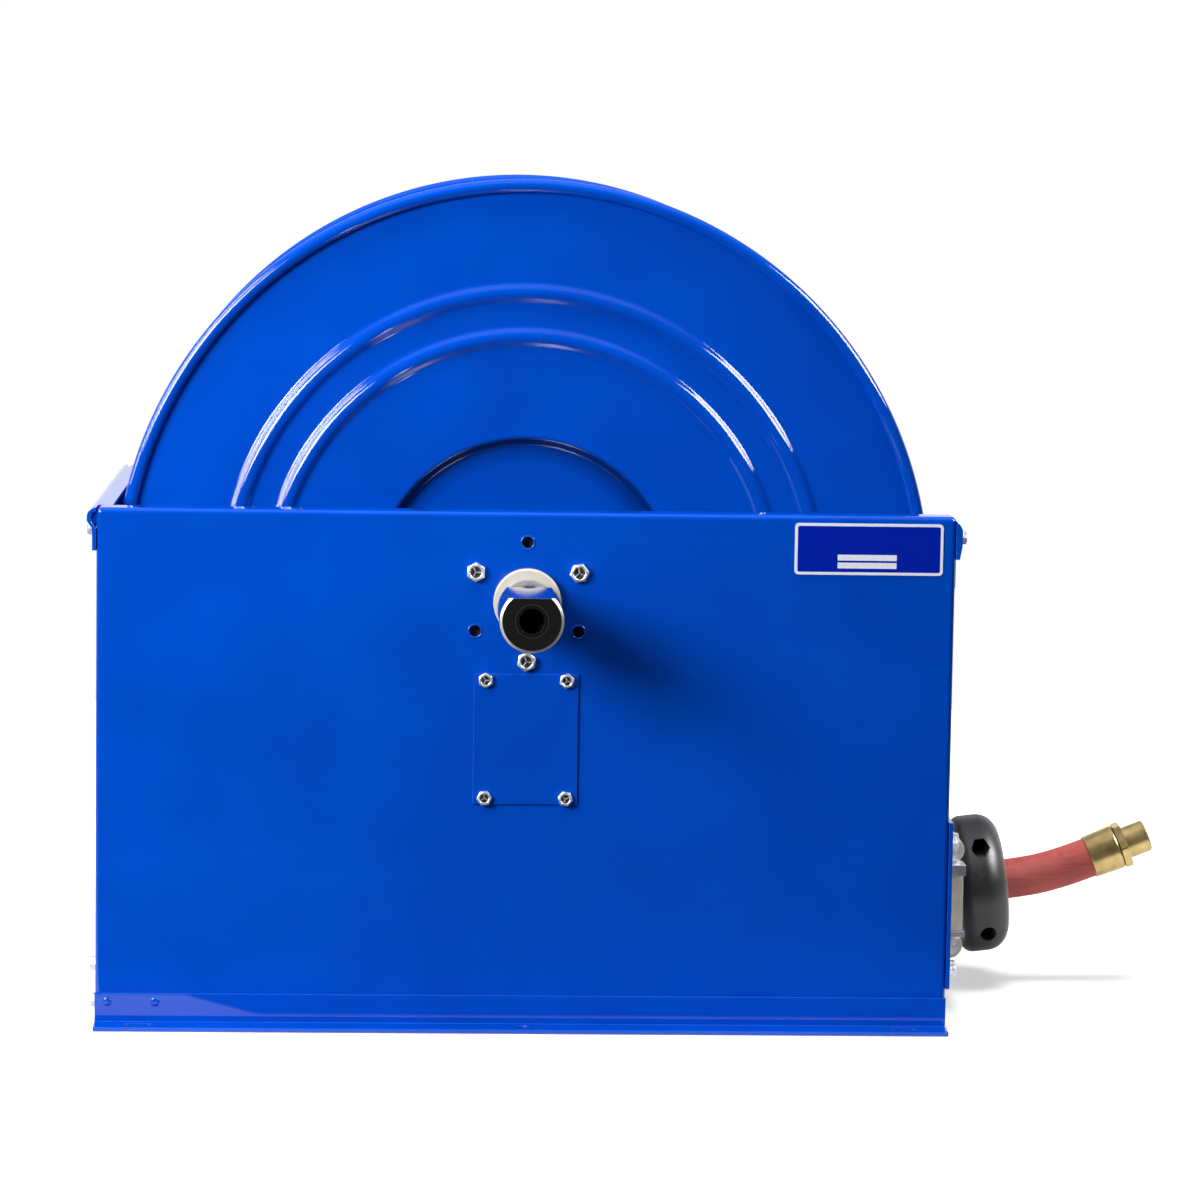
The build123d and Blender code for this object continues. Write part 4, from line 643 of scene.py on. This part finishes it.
for name, (node, bolts) in bolt_groups.items():
    bm = bmesh.new()
    for place, outward, turn, across, grip in bolts:
        facing = Vector(outward).to_track_quat("Z", "Y").to_matrix().to_4x4()
        hex_bolt(bm, Matrix.Translation(place) @ facing @ Matrix.Rotation(math.radians(turn), 4, "Z"), across, grip)
    group = mesh_piece(name, bm, 20)
    group.data.materials.append(zinc)
    group.data.materials.append(painted_dish_shade)
    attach(group, "frame")
    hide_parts(node)
for name in ("drum_tie_bolts", "bracket_screws", "roller_pins", "pawl_pin"):
    finish_node(name, zinc)

# Black oxide on the bumper's socket screws: dark and dull, so their pockets look empty.
black_oxide, tree = new_material("black_oxide_steel")
where = add_node(tree, "ShaderNodeTexCoord")
bloom = add_node(tree, "ShaderNodeTexNoise", Vector=where.outputs["Object"], Scale=1 / 0.004, Detail=2.0)
oxide_colour = add_node(tree, "ShaderNodeValToRGB", Fac=bloom.outputs[0])
oxide_colour.color_ramp.elements[0].color = linear("17171A")
oxide_colour.color_ramp.elements[1].color = linear("26262A")
metal = add_node(tree, "ShaderNodeBsdfPrincipled", Base_Color=oxide_colour.outputs[0], Metallic=1.0, Roughness=0.45)
show(tree, metal.outputs[0])
finish_node("bumper_screws", black_oxide)

# Two plug welds through the near foot's upright, dressed flat and painted over.
bm = bmesh.new()
for x in (-0.3107, -0.2749):
    place = Matrix.Translation((x, -0.1979, 0.0180)) @ Vector((0, -1, 0)).to_track_quat("Z", "Y").to_matrix().to_4x4()
    stack_rings(bm, [
        ([radius] * 24, [height] * 24)
        for radius, height in ((0.0036, 0.0), (0.0033, 0.0004), (0.0024, 0.0009), (0.0009, 0.0011))
    ], place)
welds = mesh_piece("foot_plug_welds", bm, 60)
welds.data.materials.append(powder_coat)
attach(welds, "frame")

# The other three places on the flange's bolt circle stay open: painted collars round the holes, and behind
# them a thin black sheet that stands in for the shade inside the holes.
bm = bmesh.new()
for turn in (90, 210, 330):
    spin(bm, list(arc(0.0050, PANEL_FACE, 0.0007, 0, 324, 9)), on_bolt_circle(turn), -1, 24)
collars = mesh_piece("open_hole_collars", bm, 60)
collars.data.materials.append(powder_coat)
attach(collars, "frame")
bm = bmesh.new()
spin(bm, [(0.0365, 0.1864), (0.054, 0.1864), (0.054, 0.1869), (0.0365, 0.1869)], (0.0, AXIS_HEIGHT), -1, 64)
hole_shade_sheet = mesh_piece("shade_sheet_behind_open_holes", bm, 35)
hole_shade_sheet.data.materials.append(black_rubber)
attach(hole_shade_sheet, "frame")


# ------------------------------------------------------------------ hose guide
# Two zinc-plated brackets, each with ears and blocks bent from 3 mm sheet, carry four rollers on
# headed pins round the hose window: two level ones and two upright ones.

# Barrel zinc on sheet: whiter and flatter than on the bolts, with rolling lines 1 mm apart.
bracket_zinc, tree = new_material("dull_zinc_plate")
where = add_node(tree, "ShaderNodeTexCoord")
stretched = add_node(tree, "ShaderNodeMapping", Vector=where.outputs["Object"], Scale=(1000.0, 1000.0, 60.0))
rolling = add_node(tree, "ShaderNodeTexNoise", Vector=stretched.outputs[0], Scale=1.0, Detail=2.0)
cloud = add_node(tree, "ShaderNodeTexNoise", Vector=where.outputs["Object"], Scale=1 / 0.006, Detail=3.0)
zinc_colour = add_node(tree, "ShaderNodeValToRGB", Fac=cloud.outputs[0])
zinc_colour.color_ramp.elements[0].position = 0.35
zinc_colour.color_ramp.elements[0].color = linear("C9CBD0")
zinc_colour.color_ramp.elements[1].position = 0.65
zinc_colour.color_ramp.elements[1].color = linear("E6E8EC")
rounded = add_node(tree, "ShaderNodeBevel", {"samples": 6}, Radius=0.0005)
dents = add_node(
    tree, "ShaderNodeBump", Strength=0.15, Distance=0.00005, Height=rolling.outputs[0], Normal=rounded.outputs[0],
)
metal = add_node(
    tree, "ShaderNodeBsdfPrincipled", Base_Color=zinc_colour.outputs[0], Metallic=0.9, Roughness=0.38,
    Normal=dents.outputs[0],
)
show(tree, metal.outputs[0])
for name in ("near_guide_bracket", "far_guide_bracket"):
    finish_node(name, bracket_zinc)

# Turned grey nylon: matt, slightly waxy, warm grey, with tool lines 0.5 mm apart drawn at 1.2 mm
# and faint rub marks from the hose.
nylon, tree = new_material("turned_grey_nylon")
where = add_node(tree, "ShaderNodeTexCoord")
rub = add_node(tree, "ShaderNodeTexNoise", Vector=where.outputs["Object"], Scale=1 / 0.012, Detail=4.0)
tool = add_node(tree, "ShaderNodeTexNoise", Vector=where.outputs["Object"], Scale=1 / 0.0012, Detail=1.0)
nylon_colour = add_node(tree, "ShaderNodeValToRGB", Fac=rub.outputs[0])
nylon_colour.color_ramp.elements[0].position = 0.3
nylon_colour.color_ramp.elements[0].color = linear("B3AD9D")
nylon_colour.color_ramp.elements[1].position = 0.65
nylon_colour.color_ramp.elements[1].color = linear("C6C1B3")
dents = add_node(tree, "ShaderNodeBump", Strength=0.2, Distance=0.00008, Height=tool.outputs[0])
plastic = add_node(
    tree, "ShaderNodeBsdfPrincipled", Base_Color=nylon_colour.outputs[0], Roughness=0.45, IOR=1.53,
    Normal=dents.outputs[0],
)
show(tree, plastic.outputs[0])
for name in ("upper_roller", "lower_roller", "near_roller", "far_roller"):
    finish_node(name, nylon)


# ------------------------------------------------------------------ inlet swivel and axle
# A swivel body turned from bar with one milled flat and a pipe-threaded inlet, free to turn on the
# hollow axle's spigot. A pale acetal ring runs between the axle and the panel.

# Nickel-chrome plate: a near mirror, cool, with turning marks 0.2 mm apart drawn at 0.7 mm. Inside the mouth
# of the inlet it is painted dark and dull as shade, and the turned edge of the front face is painted a duller
# beige grey as a reflection.
chrome, tree = new_material("nickel_chrome_plate")
where = add_node(tree, "ShaderNodeTexCoord")
apart = add_node(tree, "ShaderNodeSeparateXYZ", _0=where.outputs["Object"])
tool_line = add_node(
    tree, "ShaderNodeMath", {"operation": "MULTIPLY"}, _0=apart.outputs["Y"], _1=2 * math.pi / 0.0007,
)
tool_mark = add_node(tree, "ShaderNodeMath", {"operation": "SINE"}, _0=tool_line.outputs[0])
haze = add_node(tree, "ShaderNodeTexNoise", Vector=where.outputs["Object"], Scale=1 / 0.008, Detail=3.0)
rounded = add_node(tree, "ShaderNodeBevel", {"samples": 6}, Radius=0.0005)
dents = add_node(
    tree, "ShaderNodeBump", Strength=0.05, Distance=0.00003, Height=tool_mark.outputs[0], Normal=rounded.outputs[0],
)
dullness = add_node(tree, "ShaderNodeMapRange", _0=haze.outputs[0], _1=0.3, _2=0.7, _3=0.05, _4=0.1)
out_from_axle = axle_distance(tree, apart)
# Painted shade: inside the inlet's mouth the plate is mixed to a dark, dull grey.
painted_bore_shade = add_node(tree, "ShaderNodeMapRange", _0=out_from_axle, _1=0.0125, _2=0.0117, _3=0.0, _4=1.0)
bore_shade_colour = add_node(
    tree, "ShaderNodeMix", {"data_type": "RGBA"}, _0=painted_bore_shade.outputs[0], _6=linear("DADBDD"), _7=linear("26252A"),
)
bore_shade_dullness = add_node(
    tree, "ShaderNodeMix", {"data_type": "FLOAT"}, _0=painted_bore_shade.outputs[0], _2=dullness.outputs[0], _3=0.5,
)
# Painted reflection: the turned edge of the front face is mixed to a duller, less metallic beige grey that stands in
# for what it mirrors.
on_rim = add_node(tree, "ShaderNodeMapRange", _0=out_from_axle, _1=0.0212, _2=0.0215, _3=0.0, _4=1.0)
in_edge = add_node(tree, "ShaderNodeMapRange", _0=apart.outputs["Y"], _1=-0.3181, _2=-0.3184, _3=0.0, _4=1.0)
painted_rim_reflection = add_node(tree, "ShaderNodeMath", {"operation": "MULTIPLY"}, _0=on_rim.outputs[0], _1=in_edge.outputs[0])
rim_reflection_colour = add_node(
    tree, "ShaderNodeMix", {"data_type": "RGBA"}, _0=painted_rim_reflection.outputs[0], _6=bore_shade_colour.outputs[2], _7=linear("C9C4BA"),
)
rim_reflection_dullness = add_node(
    tree, "ShaderNodeMix", {"data_type": "FLOAT"}, _0=painted_rim_reflection.outputs[0], _2=bore_shade_dullness.outputs[0], _3=0.4,
)
metal_share = add_node(tree, "ShaderNodeMapRange", _0=painted_rim_reflection.outputs[0], _1=0.0, _2=1.0, _3=1.0, _4=0.55)
metal = add_node(
    tree, "ShaderNodeBsdfPrincipled", Base_Color=rim_reflection_colour.outputs[2], Metallic=metal_share.outputs[0],
    Roughness=rim_reflection_dullness.outputs[0], Normal=dents.outputs[0],
)
show(tree, metal.outputs[0])
finish_node("swivel_body", chrome)

# Turned steel: grey, semi-bright, with a light oil film; it shows on the axle's neck and inside.
bare_steel, tree = new_material("turned_oiled_steel")
where = add_node(tree, "ShaderNodeTexCoord")
oil = add_node(tree, "ShaderNodeTexNoise", Vector=where.outputs["Object"], Scale=1 / 0.015, Detail=4.0)
steel_colour = add_node(tree, "ShaderNodeValToRGB", Fac=oil.outputs[0])
steel_colour.color_ramp.elements[0].position = 0.3
steel_colour.color_ramp.elements[0].color = linear("8F9094")
steel_colour.color_ramp.elements[1].position = 0.7
steel_colour.color_ramp.elements[1].color = linear("B9BABD")
dullness = add_node(tree, "ShaderNodeMapRange", _0=oil.outputs[0], _1=0.3, _2=0.7, _3=0.22, _4=0.36)
metal = add_node(
    tree, "ShaderNodeBsdfPrincipled", Base_Color=steel_colour.outputs[0], Metallic=1.0, Roughness=dullness.outputs[0],
)
show(tree, metal.outputs[0])
for name in (
    "hollow_axle", "gooseneck_riser", "spring_arbor", "ratchet_wheel", "pawl", "near_bearing_outer_ring",
    "near_bearing_inner_ring", "far_bearing_outer_ring", "far_bearing_inner_ring",
):
    finish_node(name, bare_steel)

# Blued spring steel: dark, slightly blue, smooth.
spring_steel, tree = new_material("blued_spring_steel")
where = add_node(tree, "ShaderNodeTexCoord")
temper = add_node(tree, "ShaderNodeTexNoise", Vector=where.outputs["Object"], Scale=1 / 0.02, Detail=3.0)
steel_colour = add_node(tree, "ShaderNodeValToRGB", Fac=temper.outputs[0])
steel_colour.color_ramp.elements[0].color = linear("4A4D55")
steel_colour.color_ramp.elements[1].color = linear("6A6D74")
metal = add_node(tree, "ShaderNodeBsdfPrincipled", Base_Color=steel_colour.outputs[0], Metallic=1.0, Roughness=0.32)
show(tree, metal.outputs[0])
for name in ("power_spring", "pawl_spring", "swivel_snap_ring"):
    finish_node(name, spring_steel)

# Cast iron with grey primer: matt and slightly rough, grit about 1 mm across.
cast_iron, tree = new_material("primed_cast_iron")
where = add_node(tree, "ShaderNodeTexCoord")
grit = add_node(tree, "ShaderNodeTexNoise", Vector=where.outputs["Object"], Scale=1 / 0.001, Detail=3.0)
dents = add_node(tree, "ShaderNodeBump", Strength=0.4, Distance=0.0002, Height=grit.outputs[0])
iron = add_node(
    tree, "ShaderNodeBsdfPrincipled", Base_Color=linear("3A3C40"), Roughness=0.6, IOR=1.5, Normal=dents.outputs[0],
)
show(tree, iron.outputs[0])
finish_node("near_bearing_housing", cast_iron)

# Turned acetal: ivory, smooth and faintly waxy, with soft turning rings 1 mm apart.
acetal, tree = new_material("turned_ivory_acetal")
where = add_node(tree, "ShaderNodeTexCoord")
apart = add_node(tree, "ShaderNodeSeparateXYZ", _0=where.outputs["Object"])
out_from_axle = axle_distance(tree, apart)
ring_line = add_node(tree, "ShaderNodeMath", {"operation": "MULTIPLY"}, _0=out_from_axle, _1=2 * math.pi / 0.001)
ring_mark = add_node(tree, "ShaderNodeMath", {"operation": "SINE"}, _0=ring_line.outputs[0])
dents = add_node(tree, "ShaderNodeBump", Strength=0.1, Distance=0.00005, Height=ring_mark.outputs[0])
plastic = add_node(
    tree, "ShaderNodeBsdfPrincipled", Base_Color=linear("C9C3B8"), Roughness=0.4, IOR=1.48, Normal=dents.outputs[0],
)
show(tree, plastic.outputs[0])
finish_node("axle_collar", acetal)


# ------------------------------------------------------------------ nameplate
# A blank foil-faced plate stuck in the panel's upper front corner: white border, blue field and
# two white spaces to write in, screen printed.
PLATE_LEFT, PLATE_RIGHT = 0.3102 - 0.1112, 0.3102
PLATE_LOW, PLATE_TOP = 0.3835 - 0.0386, 0.3835
PLATE_FRONT = 0.1958
PLATE_BORDER = 0.0021
SPACE_LEFT, SPACE_RIGHT, SPACE_HEIGHT = 0.0322, 0.0764, 0.0044


def rounded_rectangle(x0, x1, z0, z1, radius):
    """Outline of a rectangle with round corners, in the panel's plane."""
    corners = [
        (x1 - radius, z1 - radius, 0), (x0 + radius, z1 - radius, 90),
        (x0 + radius, z0 + radius, 180), (x1 - radius, z0 + radius, 270),
    ]
    points = []
    for x, z, start in corners:
        points += arc(x, z, radius, start, start + 90, 6)
    return points


# Screen inks on foil: white, flat, faintly uneven, and a deep blue that dries glossier.
inks = []
for name, thin, thick, dullness in (
    ("white_screen_ink", "D9DCEA", "EEF0F8", 0.4), ("blue_screen_ink", "001A9C", "0024AE", 0.2),
):
    printed, tree = new_material(name)
    where = add_node(tree, "ShaderNodeTexCoord")
    speckle = add_node(tree, "ShaderNodeTexNoise", Vector=where.outputs["Object"], Scale=1 / 0.002, Detail=3.0)
    ink_colour = add_node(tree, "ShaderNodeValToRGB", Fac=speckle.outputs[0])
    ink_colour.color_ramp.elements[0].color = linear(thin)
    ink_colour.color_ramp.elements[1].color = linear(thick)
    ink = add_node(tree, "ShaderNodeBsdfPrincipled", Base_Color=ink_colour.outputs[0], Roughness=dullness, IOR=1.5)
    show(tree, ink.outputs[0])
    inks.append(printed)

bm = bmesh.new()
outline_back = rounded_rectangle(PLATE_LEFT, PLATE_RIGHT, PLATE_LOW, PLATE_TOP, 0.003)
outline_in = rounded_rectangle(
    PLATE_LEFT + PLATE_BORDER, PLATE_RIGHT - PLATE_BORDER, PLATE_LOW + PLATE_BORDER, PLATE_TOP - PLATE_BORDER, 0.0015,
)
back = [bm.verts.new((x, -PANEL_FACE, z)) for x, z in outline_back]
front = [bm.verts.new((x, -PLATE_FRONT, z)) for x, z in outline_back]
field = [bm.verts.new((x, -PLATE_FRONT, z)) for x, z in outline_in]
count = len(back)
bm.faces.new(back)
for k in range(count):
    after = (k + 1) % count
    bm.faces.new((back[k], back[after], front[after], front[k]))
    bm.faces.new((front[k], front[after], field[after], field[k]))
bm.faces.new(field).material_index = 1
for drop in (0.0234, 0.0293):
    top = PLATE_TOP - drop
    space = rounded_rectangle(PLATE_LEFT + SPACE_LEFT, PLATE_LEFT + SPACE_RIGHT, top - SPACE_HEIGHT, top, 0.0003)
    foot = [bm.verts.new((x, -PLATE_FRONT, z)) for x, z in space]
    face = [bm.verts.new((x, -PLATE_FRONT - 0.00005, z)) for x, z in space]
    bm.faces.new(face)
    for k in range(len(face)):
        after = (k + 1) % len(face)
        bm.faces.new((foot[k], foot[after], face[after], face[k]))
plate = mesh_piece("blank_nameplate", bm, 35)
for printed in inks:
    plate.data.materials.append(printed)
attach(plate, "frame")
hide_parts("nameplate")


# ------------------------------------------------------------------ view transform
# The plain view transform keeps each colour as written.
bpy.context.scene.view_settings.view_transform = "Standard"
